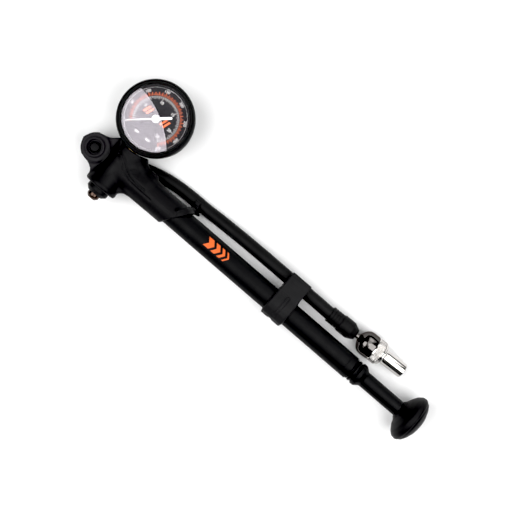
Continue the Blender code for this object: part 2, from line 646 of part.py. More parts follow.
def swivel_hose():
    """Elbow that turns in the head's eye, with the hose crimped on its arm."""
    body_top = HEAD_FLOOR_Z - GAP
    elbow = solid(
        "swivel_elbow",
        [(FLOOR_Z, 4.6), (FLOOR_Z + 0.8, ELBOW_R), (body_top, ELBOW_R), (body_top, POST_R), (5.3, POST_R),
         (5.3, 2.3), (6.4, 2.3), (6.4, 2.8), (7.1, 2.8)],
        "black_casting", SWIVEL, ALONG_Z, FACETS_SMALL)
    towards_hose = (0.0, math.pi / 2, HOSE_LEAVES)
    arm = solid("elbow_arm", [(0.0, 3.9), (9.0, 3.9)], None, SWIVEL, towards_hose, 16)
    arm.location = Vector((0.0, 0.0, HOSE_LOW_Z)) * MM
    join(elbow, arm)
    post_passage = solid("post_passage", [(-14.0, 1.0), (0.6, 1.0)], None, SWIVEL, ALONG_Z, 8)
    port = solid("post_port", [(-6.0, 0.8), (6.0, 0.8)], None, SWIVEL, ALONG_X, 8)
    arm_passage = solid("arm_passage", [(-0.5, 1.0), (12.0, 1.0)], None, SWIVEL, towards_hose, 8)
    arm_passage.location = Vector((0.0, 0.0, HOSE_LOW_Z)) * MM
    cut(elbow, post_passage, port, arm_passage)
    o_ring("swivel_oring_lower", 3.8, 0.48, -5.0, "black_rubber", SWIVEL, ALONG_Z)
    o_ring("swivel_oring_upper", 3.8, 0.48, 2.2, "black_rubber", SWIVEL, ALONG_Z)
    retainer = arc((0.0, 0.0), 4.3, 60.0, 345.0, 16) + arc((0.0, 0.0), 2.62, 345.0, 60.0, 16)
    plate("swivel_retainer", [retainer], 5.6, 6.1, "steel", SWIVEL)
    ferrule = ring("hose_ferrule", [(FERRULE[0], 4.8), (FERRULE[1], 4.8)],
                   [(FERRULE[0], HOSE_R + GAP), (FERRULE[1], HOSE_R + GAP)], "black_anodised",
                   SWIVEL, towards_hose, 24)
    ferrule.location = Vector((0.0, 0.0, HOSE_LOW_Z)) * MM
    hose_axis = axis_empty("hose_zero", (-SWIVEL_X, 0.0, 0.0), parent=SWIVEL)
    tube("hose", smooth_curve(hose_route(), 2), HOSE_R, "black_hose", hose_axis, 3)


def chuck():
    """Strain relief, fixed stem and seal, and the coupling that turns on them."""
    ring("hose_boot",
         [(-HOSE_BOOT_LENGTH, 5.0), (-21.2, 5.3), (-13.8, 5.3), (-12.8, 5.8), (-5.1, 5.8), (-1.0, 3.7),
          (0.0, 3.3)],
         [(-HOSE_BOOT_LENGTH, HOSE_R + GAP), (-8.5, HOSE_R + GAP), (-8.5, 2.2), (0.0, 2.2)],
         "black_rubber", CHUCK, ALONG_Z)
    blind_top("chuck_body",
              [(-7.6, 1.85), (2.6, 1.85), (2.9, 3.2), (4.2, 5.5), (5.7, 7.1), (7.4, 7.9), (9.6, KNURL_R),
               (13.8, KNURL_R), (13.8, 3.4), (18.6, 3.4), (18.6, 2.7), (20.1, 2.7), (20.1, 3.4), (22.0, 3.4)],
              [(10.3, 0.0), (10.3, 1.3), (22.0, 1.3)], "chrome", CHUCK, ALONG_Z)
    ring("chuck_retainer", [(18.95, 4.7), (19.75, 4.7)], [(18.95, 3.0), (19.75, 3.0)], "steel", CHUCK,
         ALONG_Z, FACETS_SMALL)
    ring("chuck_seal", [(22.3, 3.6), (24.0, 3.6)], [(22.3, 1.5), (24.0, 1.5)], "black_rubber", CHUCK,
         ALONG_Z, FACETS_SMALL)
    solid("valve_pin", [(11.0, 0.9), (26.5, 0.9)], "brass", CHUCK, ALONG_Z, FACETS_TINY)
    ring("chuck_nut",
         [(14.1, KNURL_R), (20.2, KNURL_R), (21.0, 7.6), (22.3, 7.0), (22.3, CHUCK_TUBE_R),
          (CHUCK_END, CHUCK_TUBE_R)],
         [(14.1, 3.7), (17.6, 3.7), (17.6, 5.2), (21.4, 5.2), (21.4, CHUCK_BORE_R),
          (CHUCK_END, CHUCK_BORE_R)],
         "chrome", CHUCK, ALONG_Z)


head_casting()
check_valve()
bleed_valve()
gauge_shell()
gauge_stem()
gauge_movement()
barrel_group()
hose_clip()
plunger()
swivel_hose()
chuck()
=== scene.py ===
"""Shock suspension pump: the visible surfaces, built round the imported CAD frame.

Shapes are written in millimetres on the pump's own axes: X along the barrel from the head to the
knob, Y towards the gauge, Z up out of the dial. ZERO is where the barrel's and the crossbar's axes
cross, read from the frame. Blended cast and moulded shapes are distance fields turned into meshes;
turned shapes are filleted profiles.
"""

import json
import math

import bpy
import numpy as np
from mathutils import Euler, Matrix, Vector


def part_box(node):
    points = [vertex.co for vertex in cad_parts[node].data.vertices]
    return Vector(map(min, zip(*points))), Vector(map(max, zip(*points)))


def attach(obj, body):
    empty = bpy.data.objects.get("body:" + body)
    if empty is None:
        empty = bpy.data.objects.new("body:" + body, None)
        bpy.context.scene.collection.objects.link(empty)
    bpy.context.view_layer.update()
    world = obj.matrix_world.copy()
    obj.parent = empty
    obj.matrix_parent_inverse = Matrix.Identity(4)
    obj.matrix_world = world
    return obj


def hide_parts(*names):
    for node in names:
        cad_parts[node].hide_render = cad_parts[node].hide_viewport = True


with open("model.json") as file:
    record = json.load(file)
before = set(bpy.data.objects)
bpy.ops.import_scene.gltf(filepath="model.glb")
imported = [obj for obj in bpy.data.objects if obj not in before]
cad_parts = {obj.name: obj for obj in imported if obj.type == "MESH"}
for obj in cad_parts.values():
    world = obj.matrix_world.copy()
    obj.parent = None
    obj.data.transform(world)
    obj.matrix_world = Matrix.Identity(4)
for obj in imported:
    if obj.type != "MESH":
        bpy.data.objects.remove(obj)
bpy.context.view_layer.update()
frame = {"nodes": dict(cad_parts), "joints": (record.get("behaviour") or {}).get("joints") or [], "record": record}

MM = 0.001

# ---- Places read from the frame ----
joints = {joint["name"]: joint for joint in frame["joints"]}


def box_middle(node):
    low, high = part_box(node)
    return (low + high) / 2


GAUGE_AXIS = Vector(joints["pointer_turn"]["pos_m"])
SWIVEL_AXIS = Vector(joints["hose_swivel"]["pos_m"])
BARREL_MIDDLE = box_middle("barrel")
ZERO = Vector((GAUGE_AXIS.x, BARREL_MIDDLE.y, BARREL_MIDDLE.z))
CHUCK_DIRECTION = Vector(joints["chuck_spin"]["axis"])
CHUCK_POINT = Vector(joints["chuck_spin"]["pos_m"])


def pump_mm(point):
    """A point of the frame on the pump's own axes, in millimetres."""
    return (Vector(point) - ZERO) / MM


SWIVEL_X = pump_mm(SWIVEL_AXIS).x
GAUGE_Y = pump_mm(GAUGE_AXIS).y
GAUGE_LOW, GAUGE_TOP = (pump_mm(corner).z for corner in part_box("gauge_boot"))
FLOOR = 0.0  # the world's height, in metres
BARREL_R = (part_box("barrel")[1].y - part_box("barrel")[0].y) / 2 / MM
BARREL_X = [pump_mm(corner).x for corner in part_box("barrel")]
CLIP_X = [pump_mm(corner).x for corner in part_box("hose_clip")]
HOSE_R = 4.4
HOSE_LOW_Z = -12.8  # the hose's axis at the head
HOSE_CLIP_Y = 17.5
HOSE_CLIP_Z = -4.5  # and in the keeper
HOSE_LEAVES = math.radians(17.6)
LENS_R = 22.3
LENS_LOW = 12.7
LENS_THICKNESS = 1.45
LENS_SAG = 0.8
LENS_RINGS = 24
DIAL_TOP = pump_mm(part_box("dial_plate")[1]).z
CHUCK_BACK = 20.0  # the chuck joint's point lies this far along the chuck from its zero

# ---- Orientations: each turns local Z onto the named pump axis ----
ALONG_X = Matrix.Rotation(math.pi / 2, 4, "Y")
AGAINST_Y = Matrix.Rotation(math.pi / 2, 4, "X")
ALONG_Z = Matrix.Identity(4)


def placed(x=0.0, y=0.0, z=0.0, turn=ALONG_Z):
    """Matrix of a local frame at a pump-axes point given in millimetres."""
    return Matrix.Translation(ZERO + Vector((x, y, z)) * MM) @ turn


PUMP_FRAME = placed()
BARREL_FRAME = placed(turn=ALONG_X)
GAUGE_FRAME = placed(0.0, GAUGE_Y)
SWIVEL_FRAME = placed(SWIVEL_X)
BLEED_FRAME = placed(turn=AGAINST_Y)
chuck_turn = math.atan2(CHUCK_DIRECTION.y, CHUCK_DIRECTION.x)
chuck_dip = math.asin(-CHUCK_DIRECTION.z)
CHUCK_ROTATION = Euler((0.0, math.pi / 2 + chuck_dip, chuck_turn)).to_matrix().to_4x4()
CHUCK_ZERO = CHUCK_POINT - CHUCK_DIRECTION * CHUCK_BACK * MM
CHUCK_FRAME = Matrix.Translation(CHUCK_ZERO) @ CHUCK_ROTATION
BOOT_BEND = math.radians(-1.5)  # the rubber sleeve behind the chuck bends a little towards the hose
BOOT_FRAME = Matrix.Translation(CHUCK_ZERO) @ Matrix.Rotation(BOOT_BEND, 4, "Z") @ CHUCK_ROTATION


# ---- Materials ----

class Nodes:
    """Short way to add nodes to one material."""

    def __init__(self, name):
        self.material = bpy.data.materials.new(name)
        self.material.use_nodes = True
        self.tree = self.material.node_tree
        self.shader = self.tree.nodes["Principled BSDF"]
        self.place = self.add("ShaderNodeTexCoord").outputs["Object"]

    def add(self, kind, **settings):
        node = self.tree.nodes.new(kind)
        for key, value in settings.items():
            setattr(node, key, value)
        return node

    def link(self, output, socket):
        self.tree.links.new(output, socket)

    def noise(self, scale, detail=3.0, stretch=None):
        """Noise on object coordinates; stretch squeezes it along an axis."""
        node = self.add("ShaderNodeTexNoise")
        node.inputs["Scale"].default_value = scale
        node.inputs["Detail"].default_value = detail
        source = self.place
        if stretch:
            mapping = self.add("ShaderNodeMapping")
            mapping.inputs["Scale"].default_value = stretch
            self.link(self.place, mapping.inputs["Vector"])
            source = mapping.outputs["Vector"]
        self.link(source, node.inputs["Vector"])
        return node.outputs["Fac"]

    def mapped(self, value, low, high, from_low=0.3, from_high=0.7):
        node = self.add("ShaderNodeMapRange")
        node.inputs["From Min"].default_value = from_low
        node.inputs["From Max"].default_value = from_high
        node.inputs["To Min"].default_value = low
        node.inputs["To Max"].default_value = high
        self.link(value, node.inputs["Value"])
        return node.outputs["Result"]

    def mixed(self, factor, first, second):
        node = self.add("ShaderNodeMix", data_type="RGBA")
        node.inputs["A"].default_value = (*first, 1.0)
        node.inputs["B"].default_value = (*second, 1.0)
        self.link(factor, node.inputs["Factor"])
        return node.outputs["Result"]

    def bump(self, height, distance, strength=1.0, after=None):
        node = self.add("ShaderNodeBump")
        node.inputs["Distance"].default_value = distance
        node.inputs["Strength"].default_value = strength
        self.link(height, node.inputs["Height"])
        if after is not None:
            self.link(after, node.inputs["Normal"])
        self.link(node.outputs["Normal"], self.shader.inputs["Normal"])
        return node.outputs["Normal"]


def surface(name, dark, light, rough, grain, depth, metallic=0.0, shine=0.5, stretch=None):
    """Base look: two close tones, a roughness that drifts, and a fine grain in the normal."""
    tone_scale = 60.0
    n = Nodes(name)
    tone = n.noise(tone_scale, 4.0)
    n.link(n.mixed(n.mapped(tone, 0.0, 1.0), dark, light), n.shader.inputs["Base Color"])
    drift = n.noise(tone_scale * 2.3, 5.0)
    n.link(n.mapped(drift, rough[0], rough[1]), n.shader.inputs["Roughness"])
    n.shader.inputs["Metallic"].default_value = metallic
    n.shader.inputs["Specular IOR Level"].default_value = shine
    fine = n.noise(grain, 2.0, stretch)
    n.bump(fine, depth)
    return n


def metal(name, dark, light, rough, grain, depth, stretch=None):
    return surface(name, dark, light, rough, grain, depth, metallic=1.0, stretch=stretch)


def head_material():
    """The head's moulding; the flat plate of the swivel eye gets a lighter base colour, a painted highlight for
    the light its flat faces catch from above.
    """
    n = surface("head_black", (0.0032, 0.0031, 0.0036), (0.0046, 0.0044, 0.0051), (0.46, 0.54), 2600.0,
                0.00002, shine=0.125)
    plate_ends, body_starts = -11.6 * MM, -9.8 * MM
    parts = n.add("ShaderNodeSeparateXYZ")
    n.link(n.place, parts.inputs["Vector"])
    painted_highlight_zone = n.mapped(parts.outputs["X"], 1.0, 0.0, plate_ends, body_starts)
    base = n.shader.inputs["Base Color"].links[0].from_socket
    # Painted highlight: over the eye's flat plate the base colour blends to a lighter tone, in place of the
    # overhead light that flat faces reflect.
    blend = n.add("ShaderNodeMix", data_type="RGBA")
    n.link(painted_highlight_zone, blend.inputs["Factor"])
    n.link(base, blend.inputs["A"])
    blend.inputs["B"].default_value = (0.0150, 0.0140, 0.0160, 1.0)
    n.link(blend.outputs["Result"], n.shader.inputs["Base Color"])
    return n.material


def rubber_material():
    """Soft black rubber with a trace of dusty sheen."""
    n = surface("rubber_black", (0.0036, 0.0036, 0.0038), (0.0056, 0.0055, 0.0058), (0.50, 0.62),
                3200.0, 0.00003, shine=0.13)
    n.shader.inputs["Sheen Weight"].default_value = 0.02
    n.shader.inputs["Sheen Roughness"].default_value = 0.5
    return n.material


def dark_chrome_material():
    """Chrome of the chuck's domed end, darkened overall as painted shade for the dark surroundings that its
    reflections show.
    """
    n = metal("chrome_dark", (0.085, 0.080, 0.078), (0.11, 0.105, 0.10), (0.06, 0.12), 900.0, 0.000004)
    n.shader.inputs["Specular Tint"].default_value = (0.35, 0.33, 0.33, 1.0)
    return n.material


def paint_material(name, colour):
    """Matt printing ink."""
    dark = tuple(c * 0.9 for c in colour)
    return surface(name, dark, colour, (0.40, 0.55), 2500.0, 0.000004, shine=0.25).material


def lens_material():
    """Clear moulded lens with the faintest unevenness."""
    n = Nodes("clear_lens")
    n.shader.inputs["Base Color"].default_value = (0.98, 0.98, 0.99, 1.0)
    n.shader.inputs["Transmission Weight"].default_value = 1.0
    n.shader.inputs["IOR"].default_value = 1.586
    n.shader.inputs["Specular Tint"].default_value = (0.97, 0.90, 0.98, 1.0)
    n.link(n.mapped(n.noise(120.0, 3.0), 0.0, 0.004), n.shader.inputs["Roughness"])
    n.bump(n.noise(45.0, 1.0), 0.000004)
    return n.material


# Satin black moulding with a fine spark-eroded grain.
CASTING = surface("casting_black", (0.0026, 0.0025, 0.0030), (0.0040, 0.0038, 0.0045), (0.46, 0.54),
                  2600.0, 0.00002, shine=0.125).material
HEAD = head_material()
# Black anodising over metal drawn along the barrel.
ANODISED = surface("barrel_black", (0.0018, 0.0018, 0.0022), (0.0028, 0.0028, 0.0033), (0.48, 0.56),
                   1800.0, 0.000010, shine=0.13, stretch=(0.08, 1.0, 1.0)).material
RUBBER = rubber_material()
# Satin hose cover.
HOSE = surface("hose_black", (0.0036, 0.0036, 0.0038), (0.0054, 0.0054, 0.0056), (0.52, 0.60),
               1500.0, 0.00002, shine=0.15, stretch=(0.5, 1.0, 1.0)).material
CLIP = surface("clip_rubber", (0.0085, 0.0084, 0.0090), (0.0110, 0.0108, 0.0115), (0.50, 0.62),
               2800.0, 0.00002, shine=0.13).material
CHROME = metal("chrome", (0.56, 0.54, 0.52), (0.62, 0.60, 0.58), (0.05, 0.09), 900.0, 0.000004).material
CHROME_DARK = dark_chrome_material()
COPPER = metal("button_copper", (0.88, 0.82, 0.78), (0.93, 0.87, 0.83), (0.14, 0.24), 1200.0,
               0.000006).material
# Near-black copy of the button's copper: painted shade on the button's sides, beside the bright copper tip, which
# is a painted highlight.
COPPER_PAINTED_SHADE = metal("button_painted_shade", (0.050, 0.034, 0.028), (0.075, 0.052, 0.042), (0.16, 0.24), 1200.0,
                    0.000006).material
STEEL = metal("steel", (0.52, 0.52, 0.53), (0.60, 0.60, 0.60), (0.20, 0.32), 1500.0, 0.000008,
              (0.1, 1.0, 1.0)).material
BRASS = metal("brass", (0.62, 0.44, 0.20), (0.72, 0.54, 0.28), (0.25, 0.40), 1300.0, 0.00001).material
PLASTIC = surface("inner_plastic", (0.50, 0.48, 0.43), (0.58, 0.56, 0.50), (0.40, 0.55), 1500.0,
                  0.00001).material
DIAL = surface("dial_black", (0.0100, 0.0098, 0.0112), (0.0135, 0.0132, 0.0150), (0.60, 0.70), 3000.0,
               0.000006, shine=0.04).material
WHITE = paint_material("mark_white", (0.86, 0.86, 0.86))
ORANGE = paint_material("mark_orange", (0.74, 0.13, 0.02))
DIAL_WHITE = paint_material("dial_print_white", (0.46, 0.44, 0.44))
DIAL_ORANGE = paint_material("dial_print_orange", (0.58, 0.11, 0.03))
LENS = lens_material()
CASE = surface("case_dark", (0.010, 0.010, 0.011), (0.014, 0.014, 0.015), (0.40, 0.50), 1800.0, 0.00001,
               shine=0.15).material


# ---- Mesh helpers ----

def linked(name, data):
    """A new object in the scene."""
    made = bpy.data.objects.new(name, data)
    bpy.context.scene.collection.objects.link(made)
    return made


def piece(name, vertices, faces, matrix, material, body, replaced=(), crease=38.0):
    """A mesh object from millimetre vertices in a local frame, riding on a body."""
    mesh = bpy.data.meshes.new(name)
    mesh.from_pydata((np.asarray(vertices, float) * MM).tolist(), [], faces)
    mesh.validate()
    mesh.shade_smooth()
    mesh.set_sharp_from_angle(angle=math.radians(crease))
    mesh.materials.append(material)
    made = linked(name, mesh)
    made.matrix_world = matrix
    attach(made, body)
    if replaced:
        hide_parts(*replaced)
    return made


def fillet(points, closed, steps=4):
    """Round a profile's corners. Each point is (station, radius, fillet radius)."""
    count = len(points)
    result = []
    for k, point in enumerate(points):
        here = Vector(point[:2])
        size = point[2] if len(point) > 2 else 0.0
        if size <= 0.0 or (not closed and k in (0, count - 1)):
            result.append(tuple(here))
            continue
        back = Vector(points[k - 1][:2]) - here
        ahead = Vector(points[(k + 1) % count][:2]) - here
        half = back.angle(ahead, math.pi) / 2
        if half > math.radians(88.0):
            result.append(tuple(here))
            continue
        reach = min(size / math.tan(half), back.length * 0.48, ahead.length * 0.48)
        start = here + back.normalized() * reach
        end = here + ahead.normalized() * reach
        for j in range(steps + 1):
            t = j / steps
            result.append(tuple(start * (1 - t) ** 2 + here * 2 * t * (1 - t) + end * t * t))
    return result


def lathe(name, outer, matrix, material, body, replaced=(), bore=None, facets=128, shape=None,
          crease=38.0):
    """Turn a filleted profile about local Z. outer and bore run with rising station.

    Without a bore the piece is solid; a bore whose first or last radius is 0 is a blind hole.
    shape(station, radius, angle) may change a radius, for knurls and flats.
    """
    default = 0.12

    def sized(points):
        return [(p[0], p[1], p[2] if len(p) > 2 else default) for p in points]

    outside = sized(outer)[::-1]
    inside = sized(bore) if bore else []
    top = [] if outer[-1][1] == 0 else [(outer[-1][0], 0.0, 0.0)]
    bottom = [] if outer[0][1] == 0 else [(outer[0][0], 0.0, 0.0)]
    closed = bool(inside) and inside[0][1] > 0 and inside[-1][1] > 0
    if closed:
        path = outside + inside
    elif inside and inside[0][1] == 0:
        path = inside + outside + bottom
    else:
        path = top + outside + (inside or bottom)
    profile = fillet(path, closed)
    vertices, rows = [], []
    for station, radius in profile:
        if radius < 1e-6:
            rows.append([len(vertices)])
            vertices.append((0.0, 0.0, station))
            continue
        rows.append(list(range(len(vertices), len(vertices) + facets)))
        for k in range(facets):
            angle = 2 * math.pi * k / facets
            r = shape(station, radius, angle) if shape else radius
            vertices.append((r * math.cos(angle), r * math.sin(angle), station))
    faces = []
    pairs = list(zip(rows, rows[1:])) + ([(rows[-1], rows[0])] if closed else [])
    for upper, lower in pairs:
        for k in range(facets):
            j = (k + 1) % facets
            if len(upper) == 1 and len(lower) == 1:
                continue
            if len(upper) == 1:
                faces.append((upper[0], lower[k], lower[j]))
            elif len(lower) == 1:
                faces.append((upper[k], lower[0], upper[j]))
            else:
                faces.append((upper[k], lower[k], lower[j], upper[j]))
    return piece(name, vertices, faces, matrix, material, body, replaced, crease)


def swept(name, points, radius, matrix, material, body, replaced=(), sides=40):
    """A round bar through points, with flat ends."""
    path = [Vector(p) for p in points]
    vertices, faces = [], []
    normal = Vector((0.0, 0.0, 1.0))
    for k, here in enumerate(path):
        ahead = path[min(k + 1, len(path) - 1)] - path[max(k - 1, 0)]
        ahead.normalize()
        normal = (normal - ahead * normal.dot(ahead)).normalized()
        side = ahead.cross(normal)
        for j in range(sides):
            angle = 2 * math.pi * j / sides
            vertices.append(here + (normal * math.cos(angle) + side * math.sin(angle)) * radius)
    for k in range(len(path) - 1):
        for j in range(sides):
            a = k * sides + j
            b = k * sides + (j + 1) % sides
            faces.append((a, b, b + sides, a + sides))
    faces.append(tuple(reversed(range(sides))))
    faces.append(tuple(range(len(vertices) - sides, len(vertices))))
    return piece(name, [tuple(v) for v in vertices], faces, matrix, material, body, replaced)


def smooth_curve(route, steps):
    """Points on a Catmull-Rom curve through a route."""
    route = [Vector(p) for p in route]
    ends = [route[0] * 2 - route[1]] + route + [route[-1] * 2 - route[-2]]
    points = []
    for before, here, there, after in zip(ends, ends[1:], ends[2:], ends[3:]):
        for k in range(steps):
            t = k / steps
            points.append(
                here + (there - before) * (t / 2)
                + (before * 2 - here * 5 + there * 4 - after) * (t * t / 2)
                + (here * 3 - before - there * 3 + after) * (t * t * t / 2)
            )
    return points + [route[-1]]


# ---- Distance fields: each takes an (n, 3) array in millimetres and gives n distances ----

def smooth_min(a, b, k):
    """Union of two fields with a blend about k wide."""
    h = np.maximum(k - np.abs(a - b), 0.0) / k
    return np.minimum(a, b) - h * h * k / 4


def smooth_cut(body, cutter, k):
    """Body without the cutter, its edge eased over about k."""
    return -smooth_min(-body, cutter, k)


def rounded_box_2d(u, v, edge):
    """Distance from two slab distances u and v, with a rounded edge between them."""
    u, v = u + edge, v + edge
    return np.minimum(np.maximum(u, v), 0.0) + np.hypot(np.maximum(u, 0.0), np.maximum(v, 0.0)) - edge


def cylinder(p, axis, centre, radius, low, high, edge=0.4):
    """A round bar along a main axis; centre holds the other two coordinates in order."""
    others = [k for k in range(3) if k != axis]
    across = np.hypot(p[:, others[0]] - centre[0], p[:, others[1]] - centre[1]) - radius
    along = np.abs(p[:, axis] - (low + high) / 2) - (high - low) / 2
    return rounded_box_2d(across, along, edge)


def capsule(p, start, end, start_r, end_r):
    """A round bar between two points whose radius changes along it."""
    start, end = np.asarray(start, float), np.asarray(end, float)
    way = end - start
    t = np.clip((p - start) @ way / (way @ way), 0.0, 1.0)
    return np.linalg.norm(p - start - t[:, None] * way, axis=1) - (start_r + (end_r - start_r) * t)


def polygon_2d(u, v, outline):
    """Signed distance in a plane to a closed outline."""
    best = np.full(len(u), 1e9)
    inside = np.zeros(len(u), bool)
    for (x0, y0), (x1, y1) in zip(outline, outline[1:] + outline[:1]):
        ex, ey = x1 - x0, y1 - y0
        wx, wy = u - x0, v - y0
        t = np.clip((wx * ex + wy * ey) / (ex * ex + ey * ey), 0.0, 1.0)
        best = np.minimum(best, np.hypot(wx - ex * t, wy - ey * t))
        crosses = (y0 <= v) != (y1 <= v)
        if ey != 0:
            inside ^= crosses & (wx < ex * wy / ey)
    return np.where(inside, -best, best)


def prism(p, axis, outline, low, high, edge=0.4):
    """An outline in the plane across a main axis, extruded along that axis."""
    others = [k for k in range(3) if k != axis]
    across = polygon_2d(p[:, others[0]], p[:, others[1]], outline)
    along = np.abs(p[:, axis] - (low + high) / 2) - (high - low) / 2
    return rounded_box_2d(across, along, edge)


def path_2d(u, v, points):
    """Distance in a plane to an open path."""
    best = np.full(len(u), 1e9)
    for (x0, y0), (x1, y1) in zip(points, points[1:]):
        ex, ey = x1 - x0, y1 - y0
        t = np.clip(((u - x0) * ex + (v - y0) * ey) / (ex * ex + ey * ey), 0.0, 1.0)
        best = np.minimum(best, np.hypot(u - x0 - ex * t, v - y0 - ey * t))
    return best


def field_values(field, points, chunk=200000):
    """The field at many points, worked out in chunks to spare memory."""
    return np.concatenate([field(points[k:k + chunk]) for k in range(0, len(points), chunk)])


def field_mesh(field, low, high, step):
    """Surface net of a distance field: one vertex in each cell that the surface crosses."""
    axes = [np.arange(a, b + step, step) for a, b in zip(low, high)]
    grid = np.stack(np.meshgrid(*axes, indexing="ij"), axis=-1)
    shape = grid.shape[:3]
    inside = (field_values(field, grid.reshape(-1, 3)) < 0).reshape(shape)
    corners = [inside[a:shape[0] - 1 + a, b:shape[1] - 1 + b, c:shape[2] - 1 + c]
               for a in (0, 1) for b in (0, 1) for c in (0, 1)]
    total = np.sum(corners, axis=0)
    mixed = (total > 0) & (total < 8)
    index = np.full(mixed.shape, -1)
    index[mixed] = np.arange(mixed.sum())
    cells = np.argwhere(mixed)
    middle = np.array(low) + (cells + 0.5) * step
    vertices = middle.copy()
    small = step * 0.2
    for _ in range(4):
        value = field_values(field, vertices)
        slope = np.stack([
            (field_values(field, vertices + small * unit) - field_values(field, vertices - small * unit))
            / (2 * small) for unit in np.eye(3)], axis=-1)
        size = np.maximum((slope ** 2).sum(1), 0.2)
        vertices -= slope * (value / size)[:, None]
        vertices = middle + np.clip(vertices - middle, -0.495 * step, 0.495 * step)
    faces = []
    for axis in range(3):
        one, two = [k for k in range(3) if k != axis]
        first = np.moveaxis(inside, axis, 0)
        change = first[:-1] != first[1:]
        start_inside = first[:-1] & change
        change = np.moveaxis(change, 0, axis)
        start_inside = np.moveaxis(start_inside, 0, axis)
        at = np.argwhere(change)
        keep = (at[:, one] > 0) & (at[:, two] > 0) & (at[:, one] < mixed.shape[one]) & (
            at[:, two] < mixed.shape[two])
        at = at[keep]
        solid_first = start_inside[tuple(at.T)]
        steps = []
        for back_one, back_two in ((1, 1), (0, 1), (0, 0), (1, 0)):
            cell = at.copy()
            cell[:, one] -= back_one
            cell[:, two] -= back_two
            steps.append(index[tuple(cell.T)])
        quads = np.stack(steps, axis=1)
        flip = solid_first if axis != 1 else ~solid_first
        quads[~flip] = quads[~flip][:, ::-1]
        faces.append(quads)
    return vertices, np.concatenate(faces).tolist()


# ---- Head ----

HEAD_STEP = 0.4
HEAD_FLOOR_Z = -7.7
EYE_TOP_Z = 5.4
CROSSBAR_R = 9.5
SKIRT_R = 9.8
SKIRT_SLANT = math.radians(36.0)
SKIRT_END_X = 50.3
HOOK_Y = 16.0
HOOK_X = 55.0
GAUGE_SEAT_R = 25.35
GROOVE_DEPTH = 0.42
GROOVE_WIDTH = 0.62
# Centre lines, (x, y), of the two grooves that sweep from the gauge's neck into the skirt.
GROOVES = (
    [(-4.0, 8.6), (-1.4, 7.9), (1.6, 6.4), (4.6, 4.3), (7.6, 2.4), (10.4, 1.1), (14.0, 0.3),
     (18.5, -0.1), (23.7, -0.2)],
    [(-3.4, 6.6), (-1.2, 5.4), (1.8, 3.4), (4.7, 1.3), (7.8, -0.5), (11.0, -1.7), (15.0, -2.3),
     (22.0, -2.5), (30.6, -2.5)],
)


def head_field(p):
    """Crossbar, flange, swivel eye, gauge neck and barrel skirt, blended like one casting."""
    x, y, z = p[:, 0], p[:, 1], p[:, 2]
    # The crossbar widens a little towards the bleed valve's flange.
    widening = np.clip((-6.0 - y) / 9.0, 0.0, 1.0)
    cone = np.hypot(x, z) - (CROSSBAR_R + 1.5 * widening ** 1.5)
    crossbar = rounded_box_2d(cone, np.abs(y + 1.0) - 16.6, 1.0)
    body = smooth_min(crossbar, cylinder(p, 1, (0.0, 0.0), 11.1, -17.6, -14.4, 1.5), 1.0)
    eye = cylinder(p, 2, (SWIVEL_X, 0.2), 9.5, -20.0, EYE_TOP_Z, 0.9)
    nose = prism(p, 2, [(-28.4, 0.4), (-22.4, -8.0), (-22.2, 8.6)], -20.0, 4.9, 0.8)
    eye = smooth_min(eye, nose, 1.5)
    web_outline = [
        (-19.0, -8.5), (-16.4, -9.6), (-12.8, -11.9), (-10.6, -14.2), (10.2, -13.8), (12.0, -12.1),
        (14.2, -10.4), (18.0, -9.2), (31.0, -8.6), (31.0, 8.8), (25.8, 9.4), (23.7, 12.1), (15.4, 12.3),
        (12.6, 13.8), (10.8, 17.5), (-9.8, 17.5), (-10.6, 14.9), (-14.0, 12.1), (-19.0, 8.5),
    ]
    web = prism(p, 2, web_outline, -7.3, 3.6, 0.9)
    shell = smooth_min(web, eye, 2.4)
    root = capsule(p, (1.5, 0.0, -0.2), (15.0, 0.0, 0.0), 8.9, SKIRT_R)
    body = smooth_min(smooth_min(body, root, 2.4), cylinder(p, 0, (0.0, 0.0), SKIRT_R, 15.3, 62.0), 0.5)
    neck = cylinder(p, 1, (0.4, 0.4), 8.3, 4.0, 17.5)
    body = smooth_min(body, neck, 3.0)
    # The neck pours sideways into the skirt.
    elbow = smooth_min(capsule(p, (5.2, 16.0, 1.4), (9.5, 8.0, 1.6), 5.4, 6.2),
                       capsule(p, (9.5, 8.0, 1.6), (21.0, 2.6, 1.2), 6.2, 7.6), 4.0)
    body = smooth_min(body, elbow, 3.0)
    body = smooth_min(body, shell, 2.2)
    # Ring wall round the swivel's recess.
    body = smooth_min(body, cylinder(p, 2, (SWIVEL_X, 0.0), 6.5, -6.0, 7.8, 0.7), 0.9)
    above = np.clip((z + 1.0) / 2.0, 0.0, 1.0)
    for groove in GROOVES:
        away = path_2d(x, y, groove)
        body = body + GROOVE_DEPTH * above * np.exp(-(away / GROOVE_WIDTH) ** 2)
    return body


